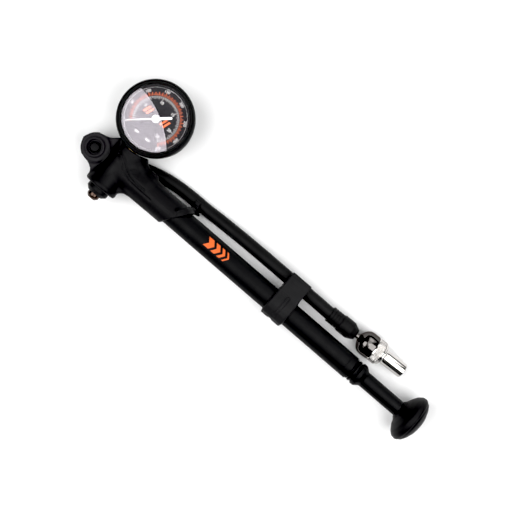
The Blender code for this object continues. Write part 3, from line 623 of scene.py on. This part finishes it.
def head_bores(p, body):
    """Slant the skirt's end, add the hook, then cut the flat underside, the gauge's seat and the bores."""
    x, y, z = p[:, 0], p[:, 1], p[:, 2]
    slant = (x - SKIRT_END_X) * math.cos(SKIRT_SLANT) - y * math.sin(SKIRT_SLANT)
    body = np.where(x > 30.0, smooth_cut(body, -slant, 0.6), body)
    body = smooth_min(body, hook_field(p), 1.2)
    # The underside is flat between the flange and the skirt.
    underside = np.maximum(np.maximum(-11.7 - y, x - 10.6), z - HEAD_FLOOR_Z)
    body = smooth_cut(body, underside, 0.8)
    body = smooth_cut(body, cylinder(p, 2, (0.0, GAUGE_Y), GAUGE_SEAT_R, -40.0, 40.0), 0.5)
    body = smooth_cut(body, cylinder(p, 0, (0.0, 0.0), BARREL_R + 0.2, 12.3, 90.0, 0.1), 0.4)
    body = smooth_cut(body, cylinder(p, 1, (0.0, 0.0), 5.5, -30.0, -9.5, 0.1), 0.3)
    body = smooth_cut(body, cylinder(p, 1, (0.0, 0.0), 3.7, -12.0, -8.2, 0.1), 0.1)
    body = smooth_cut(body, cylinder(p, 1, (0.0, 0.0), 4.25, 6.0, 30.0, 0.1), 0.3)
    body = smooth_cut(body, cylinder(p, 2, (SWIVEL_X, 0.0), 5.05, 4.6, 30.0, 0.2), 0.4)
    body = smooth_cut(body, cylinder(p, 2, (SWIVEL_X, 0.0), 3.3, -2.0, 30.0, 0.1), 0.2)
    return smooth_cut(body, cylinder(p, 2, (SWIVEL_X, 0.0), 4.6, -30.0, 3.2, 0.1), 0.2)


def hook_field(p):
    """Strap that leaves the skirt's end, runs down its side and curls round the hose."""
    centre = (HOOK_Y, HOSE_LOW_Z)
    across = np.hypot(p[:, 1] - centre[0], p[:, 2] - centre[1])
    ring = np.maximum(across - (HOSE_R + 2.0), HOSE_R + 0.32 - across)
    angle = np.arctan2(p[:, 2] - centre[1], p[:, 1] - centre[0])
    turned = np.mod(angle, 2 * math.pi)
    start, end = math.radians(80.0), math.radians(228.0)
    wedge = np.maximum((start - turned), (turned - end)) * (HOSE_R + 1.2)
    narrowing = np.clip((math.radians(150.0) - turned) / math.radians(50.0), 0.0, 1.0)
    along = np.abs(p[:, 0] - HOOK_X + 1.2 * narrowing) - (3.4 - 1.6 * narrowing)
    cradle = rounded_box_2d(np.maximum(ring, wedge), along, 0.3)
    strap = np.minimum(capsule(p, (48.6, 3.2, 8.6), (51.6, 7.6, 5.2), 1.6, 1.6),
                       capsule(p, (51.6, 7.6, 5.2), (54.4, 10.0, -1.4), 1.6, 1.8))
    strap = smooth_min(strap, capsule(p, (54.4, 10.0, -1.4), (55.2, 10.9, -9.0), 1.8, 2.2), 1.0)
    wing = capsule(p, (56.0, 9.9, -4.0), (59.2, 10.2, -6.0), 1.5, 0.9)
    strap = smooth_min(strap, wing, 0.8)
    inner = HOSE_R + 0.32 - across
    strap = np.maximum(strap, inner)
    return smooth_min(cradle, strap, 1.2)


def head():
    """The grid starts off round numbers, so that no flat face lies exactly on a grid plane."""
    low, high = (-29.57, -18.09, -20.63), (62.0, 19.0, 12.5)
    vertices, faces = field_mesh(lambda p: head_bores(p, head_field(p)), low, high, HEAD_STEP)
    piece("head_shell", vertices, faces, PUMP_FRAME, HEAD, "pump", ("head_casting",),
          crease=180.0)


def bleed_valve():
    """Collar and push button on the crossbar's end."""
    lathe("bleed_collar_ring",
          [(12.0, 5.2), (17.0, 5.2, 0.1), (17.0, 7.5, 0.4), (20.6, 7.5, 0.7), (22.6, 5.3, 0.4),
           (22.8, 4.9, 0.2)],
          BLEED_FRAME, CASTING, "pump", ("bleed_collar",),
          bore=[(12.0, 4.5), (22.8, 4.5, 0.3)])
    # The button's body in near-black copper: painted shade on its sides.
    lathe("bleed_push_button",
          [(6.9, 1.2), (19.6, 1.2, 0.1), (19.6, 4.2, 0.2), (24.7, 4.2, 1.2), (26.5, 2.5, 0.6),
           (26.2, 2.0, 0.2), (26.3, 1.8, 0.4), (26.3, 0.0)],
          BLEED_FRAME, COPPER_PAINTED_SHADE, "bleed_button", ("bleed_button",), facets=72)
    # The tip in bright copper: a painted highlight at the button's end.
    lathe("bleed_button_tip", [(24.0, 1.9, 0.1), (26.35, 1.9, 0.5), (26.8, 1.0, 0.8), (26.85, 0.0)],
          BLEED_FRAME, COPPER, "bleed_button", facets=64)


# ---- Gauge ----

def gauge_shell():
    """Rubber boot with a seam and a stepped rim, the domed lens, and the rings inside it."""
    lathe("gauge_boot_shell",
          [(GAUGE_LOW, 22.9, 0.4), (GAUGE_LOW + 1.2, 23.7, 0.6), (0.6, 23.85, 0.2), (0.9, 23.6, 0.15),
           (1.5, 23.6, 0.15), (1.8, 23.9, 0.2), (8.0, 25.1, 3.0), (12.8, 25.1, 1.2), (14.4, 24.5, 0.8),
           (14.9, 23.75, 0.3), (14.6, 23.5, 0.15), (14.9, 23.2, 0.3), (GAUGE_TOP, 22.7, 0.5),
           (GAUGE_TOP, 22.1, 0.3), (14.9, 21.5, 0.15)],
          GAUGE_FRAME, RUBBER, "pump", ("gauge_boot",),
          bore=[(-7.3, 0.0), (-7.3, 22.7), (14.5, 22.7), (14.5, 21.5, 0.1)], facets=192)
    dome = [(LENS_LOW + LENS_THICKNESS + LENS_SAG * (1.0 - (k / LENS_RINGS) ** 2), LENS_R * k / LENS_RINGS,
             0.0)
            for k in range(LENS_RINGS, -1, -1)]
    hollow = [(station - LENS_THICKNESS, radius, 0.0) for station, radius, _ in dome]
    lens = lathe("gauge_window", dome, GAUGE_FRAME, LENS, "pump", ("gauge_lens",),
                 bore=hollow, facets=128, crease=60.0)
    lens.visible_shadow = False
    lathe("gauge_inner_ring", [(10.9, 21.1, 0.1), (12.3, 21.1, 0.1)], GAUGE_FRAME, CASTING, "pump",
          bore=[(10.9, 20.1, 0.1), (12.3, 20.3, 0.1)])
    lathe("gauge_bezel_edge", [(10.6, 20.2, 0.05), (11.3, 20.2, 0.05)], GAUGE_FRAME, STEEL, "pump",
          bore=[(10.6, 19.7, 0.05), (10.9, 19.7, 0.05), (11.3, 20.15, 0.05)])


def ring_sector(inner, outer, start, end, low, high, steps):
    """Vertices and faces of a curved bar between two angles in radians."""
    vertices, faces = [], []
    for k in range(steps + 1):
        angle = start + (end - start) * k / steps
        c, s = math.cos(angle), math.sin(angle)
        vertices += [(inner * c, inner * s, low), (outer * c, outer * s, low),
                     (outer * c, outer * s, high), (inner * c, inner * s, high)]
    for k in range(steps):
        a, b = 4 * k, 4 * k + 4
        for j in range(4):
            i = (j + 1) % 4
            faces.append((a + j, b + j, b + i, a + i))
    faces.append((0, 1, 2, 3))
    last = 4 * steps
    faces.append((last + 3, last + 2, last + 1, last))
    return vertices, faces


def gather(parts):
    """Join several (vertices, faces) pairs."""
    vertices, faces = [], []
    for some, others in parts:
        shift = len(vertices)
        vertices += list(some)
        faces += [tuple(k + shift for k in face) for face in others]
    return vertices, faces


SCALE_START = math.radians(222.5)
SCALE_SWEEP = math.radians(267.5)
PSI_MAX = 350
BAR_MAX = 24.0
PSI_RING_R = 15.4
BAR_RING_R = 14.55
PSI_NUMBERS_R = 18.5
BAR_NUMBERS_R = 10.9
MARK_LOW = DIAL_TOP - 0.02
MARK_TOP = DIAL_TOP + 0.05


def scale_ring(inner, outer):
    return ring_sector(inner, outer, SCALE_START - SCALE_SWEEP, SCALE_START, MARK_LOW, MARK_TOP, 90)


def tick(angle, inner, outer, width):
    """One printed division between two radii."""
    half = width / 2 / ((inner + outer) / 2)
    return ring_sector(inner, outer, angle - half, angle + half, MARK_LOW, MARK_TOP, 1)


def dial_marks():
    """Outer scale in orange from 0 to 350 and inner white scale from 0 to 24."""
    orange = [scale_ring(PSI_RING_R - 0.1, PSI_RING_R + 0.02)]
    for value in range(0, PSI_MAX + 1, 5):
        angle = SCALE_START - SCALE_SWEEP * value / PSI_MAX
        length = 2.1 if value % 50 == 0 else 1.8 if value % 10 == 0 else 1.0
        orange.append(tick(angle, PSI_RING_R, PSI_RING_R + length, 0.38 if value % 10 == 0 else 0.22))
    for x in (-8.6, -6.2, 5.0, 7.4):
        orange.append(slanted_bar(x, 1.5, 1.4, 5.2, 1.6))
    vertices, faces = gather(orange)
    piece("dial_marks_orange", vertices, faces, GAUGE_FRAME, DIAL_ORANGE, "pump")
    white = [scale_ring(BAR_RING_R - 0.05, BAR_RING_R + 0.05)]
    for half in range(0, int(BAR_MAX * 2) + 1):
        angle = SCALE_START - SCALE_SWEEP * half / (BAR_MAX * 2)
        length = 2.1 if half % 10 == 0 else 1.8 if half % 2 == 0 else 1.2
        white.append(tick(angle, BAR_RING_R - length, BAR_RING_R, 0.36))
    vertices, faces = gather(white)
    piece("dial_marks_white", vertices, faces, GAUGE_FRAME, DIAL_WHITE, "pump")


def slanted_bar(x, y, width, height, lean):
    """A small printed bar on the dial, leaning to the right."""
    corners = [(x - width / 2 - lean / 2, y - height / 2), (x + width / 2 - lean / 2, y - height / 2),
               (x + width / 2 + lean / 2, y + height / 2), (x - width / 2 + lean / 2, y + height / 2)]
    vertices = [(a, b, MARK_LOW) for a, b in corners] + [(a, b, MARK_TOP) for a, b in corners]
    faces = [(3, 2, 1, 0), (4, 5, 6, 7), (0, 1, 5, 4), (1, 2, 6, 5), (2, 3, 7, 6), (3, 0, 4, 7)]
    return vertices, faces


def dial_text(value, x, y, turn, height, name):
    """A number or unit printed on the dial round one middle point, turned by an angle."""
    curve = bpy.data.curves.new(name, "FONT")
    curve.body = str(value)
    curve.align_x = "CENTER"
    curve.align_y = "CENTER"
    curve.size = height * MM
    curve.extrude = 0.03 * MM
    curve.offset = height * MM * 0.022
    text = linked(name + "_text", curve)
    bpy.context.view_layer.update()
    mesh = bpy.data.meshes.new_from_object(text.evaluated_get(bpy.context.evaluated_depsgraph_get()))
    bpy.data.objects.remove(text, do_unlink=True)
    mesh.materials.clear()
    mesh.materials.append(DIAL_WHITE)
    made = linked(name, mesh)
    place = Vector((x, y, DIAL_TOP + 0.02)) * MM
    made.matrix_world = GAUGE_FRAME @ Matrix.Translation(place) @ Matrix.Rotation(turn, 4, "Z")
    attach(made, "pump")


def dial_numbers():
    """Numbers of both scales; the outer ones stand with their feet towards the middle."""
    for value in range(0, PSI_MAX + 1, 50):
        angle = SCALE_START - SCALE_SWEEP * value / PSI_MAX
        dial_text(value, PSI_NUMBERS_R * math.cos(angle), PSI_NUMBERS_R * math.sin(angle),
                  angle - math.pi / 2, 2.5, f"number_outer_{value}")
    for value in (5, 10, 15, 20, 24):
        angle = SCALE_START - SCALE_SWEEP * value / BAR_MAX
        dial_text(value, BAR_NUMBERS_R * math.cos(angle), BAR_NUMBERS_R * math.sin(angle), 0.0, 2.6,
                  f"number_inner_{value}")
    dial_text("psi", -4.2, -13.4, 0.0, 2.6, "unit_left")
    dial_text("bar", 4.6, -13.4, 0.0, 2.6, "unit_right")


def plate(outline, low, high, bevel):
    """A flat plate with a closed outline, its upper edge bevelled."""
    count = len(outline)
    inset = []
    for k, point in enumerate(outline):
        here = Vector(point)
        back = (here - Vector(outline[k - 1])).normalized()
        ahead = (Vector(outline[(k + 1) % count]) - here).normalized()
        along = (back + ahead).normalized()
        inset.append(here + Vector((-along.y, along.x)) * bevel)
    vertices = [(*point, low) for point in outline]
    vertices += [(*point, high - bevel) for point in outline]
    vertices += [(point.x, point.y, high) for point in inset]
    faces = [tuple(reversed(range(count))), tuple(range(2 * count, 3 * count))]
    for ring in (0, count):
        for k in range(count):
            j = (k + 1) % count
            faces.append((ring + k, ring + j, ring + count + j, ring + count + k))
    return vertices, faces


def needle():
    """White pointer: a slim needle, a round hub and a short broad tail, with bevelled edges."""
    hub, half, tail_end = 2.45, 0.82, -9.6
    upper = [(17.7, 0.10), (17.4, 0.16)]
    for k in range(19):
        angle = math.radians(11.0 + 149.0 * k / 18)
        upper.append((hub * math.cos(angle), hub * math.sin(angle)))
    for k in range(9):
        angle = math.radians(90.0 + 86.0 * k / 8)
        upper.append((tail_end + half * math.cos(angle), half * math.sin(angle)))
    outline = upper + [(along, -across) for along, across in upper[::-1]]
    c, s = math.cos(SCALE_START), math.sin(SCALE_START)
    turned = [(along * c - across * s, along * s + across * c) for along, across in outline]
    vertices, faces = plate(turned, 10.1, 10.9, 0.14)
    piece("pointer_needle", vertices, faces, GAUGE_FRAME, WHITE, "pointer", ("pointer",),
          crease=30.0)
    lathe("pointer_cap", [(10.7, 1.5, 0.1), (11.5, 1.35, 0.3), (11.6, 0.0)], GAUGE_FRAME, WHITE, "pointer",
          facets=48)


# ---- Barrel and plunger ----

def barrel():
    """Tube, and the ringed cap that closes its handle end."""
    lathe("barrel_tube",
          [(BARREL_X[0], BARREL_R, 0.2), (192.4, BARREL_R, 0.1), (192.6, BARREL_R - 0.12, 0.05),
           (192.9, BARREL_R - 0.12, 0.05), (193.1, BARREL_R, 0.1), (BARREL_X[1], BARREL_R, 0.5)],
          BARREL_FRAME, ANODISED, "pump", ("barrel",),
          bore=[(BARREL_X[0], 6.5), (BARREL_X[1], 6.5)], facets=160)
    lathe("barrel_end_cap",
          [(185.5, 6.2), (197.7, 6.2, 0.1), (197.7, 7.2, 0.3), (198.4, 7.3, 0.3), (198.8, 6.65, 0.2),
           (199.2, 6.65, 0.2), (199.5, 7.4, 0.4), (200.8, 7.4, 0.4), (201.0, 6.7, 0.2), (201.3, 6.7, 0.1),
           (201.6, 6.9, 0.1)],
          BARREL_FRAME, ANODISED, "pump", ("barrel_gland",),
          bore=[(185.5, 3.8), (187.0, 3.8), (187.0, 5.2), (201.6, 5.2)], facets=128)
    barrel_graphic()


def chevron(start, width, rows=12, columns=4):
    """One printed chevron wrapped on the barrel's upper side, as a very thin closed shell."""
    middle, half, tip = 1.5, 3.4, 2.4
    row = columns + 1
    count = row * (rows + 1)
    vertices, faces = [], []
    for radius in (BARREL_R - 0.03, BARREL_R + 0.03):
        for k in range(rows + 1):
            across = half * (2.0 * k / rows - 1.0)
            left = start + tip * (1.0 - abs(across) / half)
            angle = (middle + across) / BARREL_R
            for j in range(columns + 1):
                vertices.append((left + width * j / columns, radius * math.sin(angle),
                                 radius * math.cos(angle)))
    for k in range(rows):
        for j in range(columns):
            a = k * row + j
            faces.append((a, a + row, a + row + 1, a + 1))
            faces.append((a + count, a + count + 1, a + count + row + 1, a + count + row))
    border = list(range(columns)) + [k * row + columns for k in range(rows)]
    border += [count - 1 - j for j in range(columns)] + [(rows - k) * row for k in range(rows)]
    for a, b in zip(border, border[1:] + border[:1]):
        faces.append((a, b, b + count, a + count))
    return vertices, faces


def barrel_graphic():
    """Four plain printed chevrons that get narrower along the barrel."""
    vertices, faces = gather([chevron(start, width) for start, width in
                              ((74.0, 4.2), (80.2, 3.0), (85.2, 2.0), (89.2, 1.2))])
    piece("barrel_graphic", vertices, faces, PUMP_FRAME, ORANGE, "pump")


CLIP_STEP = 0.3


def clip_field(p):
    """Rubber keeper: a block that hugs the barrel, with a slot for the hose on its open side."""
    x, y, z = p[:, 0], p[:, 1], p[:, 2]
    outline = [(0.0, 9.8), (16.0, 6.9), (21.2, 5.4), (22.6, 3.6), (22.6, 0.04), (17.5, 0.04), (14.0, -4.5),
               (17.5, -9.04), (21.2, -9.04), (21.2, -10.6), (19.6, -11.6), (12.0, -11.6), (4.0, -9.3),
               (-4.0, -9.3), (-8.0, -6.0), (-8.0, 6.0), (-4.0, 9.3)]
    middle = (CLIP_X[0] + CLIP_X[1]) / 2
    half = (CLIP_X[1] - CLIP_X[0]) / 2
    slot_edge = HOSE_R + 0.3
    block = rounded_box_2d(polygon_2d(y, z, outline), np.abs(x - middle) - half, 0.7)
    ring = rounded_box_2d(np.hypot(y, z) - 10.3, np.abs(x - middle) - half, 0.7)
    block = smooth_min(block, ring, 2.0)
    # Two finger lobes with a notch between them.
    notch = np.hypot(x - (middle - 0.2), (y + 11.3)) - 1.6
    block = smooth_cut(block, notch, 0.8)
    # A long oval groove round a flush pad on the upper face.
    oval = capsule(np.stack([x, y, np.zeros(len(x))], axis=1), (middle + 0.5, -6.4, 0.0),
                   (middle + 0.5, 7.4, 0.0), 1.1, 1.1)
    above = np.clip(z - 2.0, 0.0, 1.0)
    block = block + 0.3 * above * np.exp(-(oval / 0.28) ** 2)
    lip = np.abs(y - 20.6)
    block = block + 0.22 * above * np.exp(-(lip / 0.3) ** 2)
    block = smooth_cut(block, np.hypot(y, z) - (BARREL_R + 0.06), 0.3)
    return smooth_cut(block, np.hypot(y - HOSE_CLIP_Y, z - HOSE_CLIP_Z) - slot_edge, 0.3)


def hose_clip():
    low = (CLIP_X[0] - 0.6, -10.8, -12.4)
    high = (CLIP_X[1] + 0.6, 23.4, 10.8)
    vertices, faces = field_mesh(clip_field, low, high, CLIP_STEP)
    piece("hose_keeper", vertices, faces, PUMP_FRAME, CLIP, "pump", ("hose_clip",),
          crease=180.0)


def plunger():
    """Handle sleeve with a flared end, and the mushroom knob with a step round its rim."""
    lathe("handle_tube",
          [(201.9, 7.2, 0.3), (202.5, 7.8, 0.5), (204.9, 7.75, 1.2), (208.0, 5.35, 1.8), (237.3, 5.3, 0.1)],
          BARREL_FRAME, ANODISED, "plunger", ("handle_sleeve",),
          bore=[(201.9, 3.8), (237.3, 3.8)], facets=112)
    lathe("handle_knob",
          [(237.5, 5.6, 0.2), (237.7, 6.2, 0.3), (238.9, 7.4, 1.5), (240.4, 10.6, 4.0), (242.6, 14.0, 5.0),
           (245.0, 16.0, 1.6), (247.4, 16.35, 0.9), (248.5, 15.95, 0.5), (248.7, 15.6, 0.2),
           (248.9, 15.4, 0.3), (250.4, 14.5, 1.5), (252.1, 12.0, 4.0), (253.8, 7.9, 5.0), (254.9, 2.6, 4.0),
           (255.0, 0.0)],
          BARREL_FRAME, CASTING, "plunger", ("knob",),
          bore=[(237.5, 3.8), (246.8, 3.8), (246.8, 0.0)], facets=160)


# ---- Hose and chuck ----

HOSE_STARTS = 9.3  # from the swivel's axis
HOSE_IN_BOOT = -9.0  # where it ends inside the strain relief


def on_chuck(station):
    """A point on the strain relief's axis, on the pump's axes."""
    return pump_mm(BOOT_FRAME @ (Vector((0.0, 0.0, station)) * MM))


def hose_route():
    """From the swivel over the floor and through the hook, up into the keeper, then to the chuck."""
    leaves = Vector((math.cos(HOSE_LEAVES), math.sin(HOSE_LEAVES), 0.0))
    swivel = Vector((SWIVEL_X, 0.0, HOSE_LOW_Z))
    route = [swivel + leaves * along for along in (HOSE_STARTS, 20.0, 33.0)]
    route += [Vector(p) for p in (
        (25.0, 13.4, HOSE_LOW_Z),
        (38.0, 15.4, HOSE_LOW_Z),
        (51.0, 15.95, HOSE_LOW_Z),
        (60.0, 16.05, HOSE_LOW_Z),
        (74.0, 16.7, -11.6),
        (90.0, 17.2, -8.9),
        (106.0, 17.45, -6.1),
        (121.0, HOSE_CLIP_Y, -4.6),
        (130.0, HOSE_CLIP_Y, HOSE_CLIP_Z),
        (154.0, HOSE_CLIP_Y, HOSE_CLIP_Z),
    )]
    return route + [on_chuck(station) for station in (-24.0, -16.0, HOSE_IN_BOOT)]


def hose():
    swept("hose_tube", smooth_curve(hose_route(), 12), HOSE_R, PUMP_FRAME, HOSE, "hose",
          ("hose",), sides=56)


def strain_relief():
    """Rubber sleeve with four ribs, a barrel-shaped middle and a tapered neck."""
    outer = [(-21.8, 4.8, 0.2)]
    rib_pitch = 2.1
    for k in range(4):
        start = -21.7 + rib_pitch * k
        outer += [(start, 5.45, 0.35), (start + 1.35, 5.45, 0.35), (start + 1.45, 5.2, 0.2),
                  (start + rib_pitch - 0.1, 5.2, 0.2)]
    outer += [(-13.2, 5.7, 0.6), (-12.0, 6.0, 1.2), (-4.8, 6.0, 1.6), (-1.2, 4.3, 0.8), (0.0, 3.6, 0.5)]
    lathe("hose_strain_relief", outer, BOOT_FRAME, RUBBER, "hose", ("hose_boot",),
          bore=[(-21.8, 4.5), (-8.5, 4.5), (-8.5, 2.1), (0.0, 2.1, 0.3)], facets=112)


def chuck():
    """Domed body on the hose, and the knurled nut with its tube that turns on it."""
    lathe("chuck_dome",
          [(-7.6, 1.85), (2.2, 1.85, 0.6), (2.6, 2.9, 0.3), (3.6, 4.9, 1.5), (5.2, 7.0, 3.0),
           (7.2, 8.1, 3.0), (9.6, 8.4, 1.5), (13.8, 8.3, 0.25), (13.8, 3.4, 0.1), (18.6, 3.4),
           (18.6, 2.7), (20.1, 2.7), (20.1, 3.4), (22.0, 3.4)],
          CHUCK_FRAME, CHROME_DARK, "hose", ("chuck_body",),
          bore=[(10.3, 0.0), (10.3, 1.3), (22.0, 1.3)], facets=144)

    knurl_low, knurl_high = 14.7, 19.7
    turns, rows = 46, 5.0
    depth, lift = 0.34, 0.06

    def knurl(station, radius, angle):
        if radius < 8.0 or not knurl_low <= station <= knurl_high:
            return radius
        along = (station - knurl_low) / (knurl_high - knurl_low) * rows
        one = math.sin(math.pi * (along + turns * angle / (2 * math.pi))) ** 2
        two = math.sin(math.pi * (along - turns * angle / (2 * math.pi))) ** 2
        return radius - depth * (1.0 - math.sqrt(one * two)) + lift

    knurled = [(knurl_low + (knurl_high - knurl_low) * k / 60, 8.25, 0.0) for k in range(61)]
    lathe("chuck_coupling",
          [(14.1, 8.05, 0.15), (14.6, 8.2, 0.0)] + knurled
          + [(20.0, 8.2, 0.2), (20.5, 7.9, 0.3), (21.2, 7.3, 0.2), (21.6, 7.3, 0.2), (22.4, 6.6, 0.3),
             (22.4, 5.0, 0.15), (23.2, 4.75, 0.2), (23.9, 4.75, 0.2), (24.3, 5.0, 0.2), (38.5, 5.0, 0.3),
             (39.0, 4.7, 0.1)],
          CHUCK_FRAME, CHROME, "chuck_nut", ("chuck_nut",),
          bore=[(14.1, 3.7), (17.6, 3.7), (17.6, 5.2), (21.4, 5.2), (21.4, 4.1), (39.0, 4.1, 0.25)],
          facets=turns * 8, shape=knurl, crease=30.0)


def swivel():
    """Elbow under the head, its post and retaining ring, and the crimped sleeve on the hose."""
    hose_way = Matrix.Rotation(HOSE_LEAVES, 4, "Z") @ ALONG_X
    low = placed(SWIVEL_X, 0.0, HOSE_LOW_Z, hose_way)
    lathe("swivel_body",
          [(-17.7, 4.4, 0.6), (-16.9, 5.6, 0.8), (-8.4, 5.6, 0.3), (-8.0, 5.2, 0.2), (-8.0, 3.0, 0.1),
           (5.3, 3.0), (5.3, 2.3), (6.4, 2.3), (6.4, 2.8), (7.0, 2.8, 0.3), (7.2, 0.0)],
          SWIVEL_FRAME, CASTING, "hose", ("swivel_elbow",), facets=96)
    lathe("swivel_arm", [(4.0, 3.9), (8.6, 3.9, 0.3)], low, CASTING, "hose", facets=72)
    crimp_r, groove_r = 4.95, 4.7
    crimp = [(6.3, groove_r, 0.2), (6.6, crimp_r, 0.2)]
    for start in (8.6, 11.0, 13.4):
        crimp += [(start, crimp_r, 0.15), (start + 0.3, groove_r, 0.15), (start + 0.9, groove_r, 0.15),
                  (start + 1.2, crimp_r, 0.15)]
    crimp += [(16.3, crimp_r, 0.2), (16.5, 4.65, 0.1)]
    lathe("hose_crimp", crimp, low, ANODISED, "hose", ("hose_ferrule",),
          bore=[(6.3, 4.5), (16.5, 4.5)], facets=96)
    ring_r, ring_z, ring_steps = 3.45, 5.85, 32
    ring = []
    for k in range(ring_steps + 1):
        angle = math.radians(60.0 + 285.0 * k / ring_steps)
        ring.append((ring_r * math.cos(angle), ring_r * math.sin(angle), ring_z))
    swept("swivel_ring", ring, 0.42, SWIVEL_FRAME, CASTING, "hose", ("swivel_retainer",), sides=16)


# ---- Everything that stays a CAD solid: it only gets its finish ----

SLOT_LOOKS = {
    "black_casting": CASTING, "black_anodised": ANODISED, "black_rubber": RUBBER, "black_hose": HOSE,
    "chrome": CHROME, "steel": STEEL, "brass": BRASS, "copper": COPPER, "dial_black": DIAL,
    "white_paint": WHITE, "clear_lens": LENS, "piston_plastic": PLASTIC,
}


def finish_cad_nodes():
    """Give every CAD solid that no piece replaces the look of its slot; the gauge's case is darker."""
    for part in frame["record"]["subparts"]:
        node = frame["nodes"][part["node"]]
        if node.hide_render:
            continue
        look = CASE if part["node"] == "gauge_case" else SLOT_LOOKS[part["material_slot"]]
        node.data.materials.clear()
        node.data.materials.append(look)


# ---- Camera, floor and light ----

CAMERA_HEIGHT = 0.76
VIEW_WIDTH = 0.3239  # what the picture takes in at the view's centre, in metres
SENSOR_WIDTH = 36.0
VIEW_CENTRE = Vector((103.5, 14.55, 6.0))
BARREL_SLOPE = math.radians(40.78)


def camera():
    """Looks straight down, with the barrel sloping down to the right in the picture."""
    data = bpy.data.cameras.new("camera")
    data.sensor_width = SENSOR_WIDTH
    data.lens = SENSOR_WIDTH * CAMERA_HEIGHT / VIEW_WIDTH
    data.clip_start = 0.05
    made = linked("camera", data)
    made.location = ZERO + VIEW_CENTRE * MM + Vector((0.0, 0.0, CAMERA_HEIGHT))
    made.rotation_euler = (0.0, 0.0, BARREL_SLOPE)
    bpy.context.scene.camera = made


def floor():
    """A wide, nearly white sheet."""
    mesh = bpy.data.meshes.new("floor")
    half = 6.0
    corners = [(-half, -half, FLOOR), (half, -half, FLOOR), (half, half, FLOOR), (-half, half, FLOOR)]
    mesh.from_pydata(corners, [], [(0, 1, 2, 3)])
    n = Nodes("floor_white")
    n.shader.inputs["Roughness"].default_value = 0.8
    n.link(n.mixed(n.mapped(n.noise(3.0, 2.0), 0.0, 1.0), (0.90, 0.90, 0.90), (0.92, 0.92, 0.92)),
           n.shader.inputs["Base Color"])
    mesh.materials.append(n.material)
    linked("floor", mesh)


def softbox(name, place, aim, shape, width, height, radiance, only_glossy=False):
    """A flat light at place, looking at aim, both in pump millimetres; width and height are in metres.

    Radiance sets its brightness. only_glossy keeps it to reflections, off the diffuse light.
    """
    data = bpy.data.lights.new(name, "AREA")
    data.shape = shape
    data.size = width
    data.size_y = height
    area = width * height * (math.pi / 4 if shape == "ELLIPSE" else 1.0)
    data.energy = radiance * math.pi * area
    made = linked(name, data)
    made.location = ZERO + Vector(place) * MM
    direction = (Vector(aim) - Vector(place)).normalized()
    made.rotation_euler = direction.to_track_quat("-Z", "Y").to_euler()
    made.visible_diffuse = not only_glossy


def lights():
    world = bpy.data.worlds.new("studio")
    world.use_nodes = True
    background = world.node_tree.nodes["Background"]
    background.inputs["Color"].default_value = (1.0, 1.0, 1.0, 1.0)
    background.inputs["Strength"].default_value = 0.05
    bpy.context.scene.world = world
    softbox("softbox_main", (-290, -286, 815), (-290, -286, 0), "ELLIPSE", 0.83, 0.83, 5.1)
    softbox("softbox_end", (600, 80, 800), (250, 30, 0), "ELLIPSE", 0.80, 0.80, 5.0)
    softbox("softbox_low", (-160, -900, 520), (60, 0, 0), "RECTANGLE", 0.6, 0.6, 1.0)
    softbox("softbox_top", (120, 30, 1100), (100, 10, 0), "RECTANGLE", 0.9, 0.6, 0.2, only_glossy=True)
    softbox("softbox_side", (235, 360, 480), (225, 15, 0), "RECTANGLE", 0.28, 0.66, 2.4, only_glossy=True)
    softbox("softbox_far", (60, 900, 600), (60, 60, 0), "RECTANGLE", 1.0, 0.6, 1.6)


def finish_picture():
    """Plain display transform with the levels set as in a studio picture on white."""
    view = bpy.context.scene.view_settings
    view.view_transform = "Standard"
    view.use_curve_mapping = True
    view.curve_mapping.black_level = (0.014, 0.014, 0.014)
    view.curve_mapping.update()


head()
bleed_valve()
gauge_shell()
dial_marks()
dial_numbers()
needle()
barrel()
hose_clip()
plunger()
hose()
strain_relief()
chuck()
swivel()
finish_cad_nodes()
camera()
floor()
lights()
finish_picture()

bpy.context.view_layer.update()
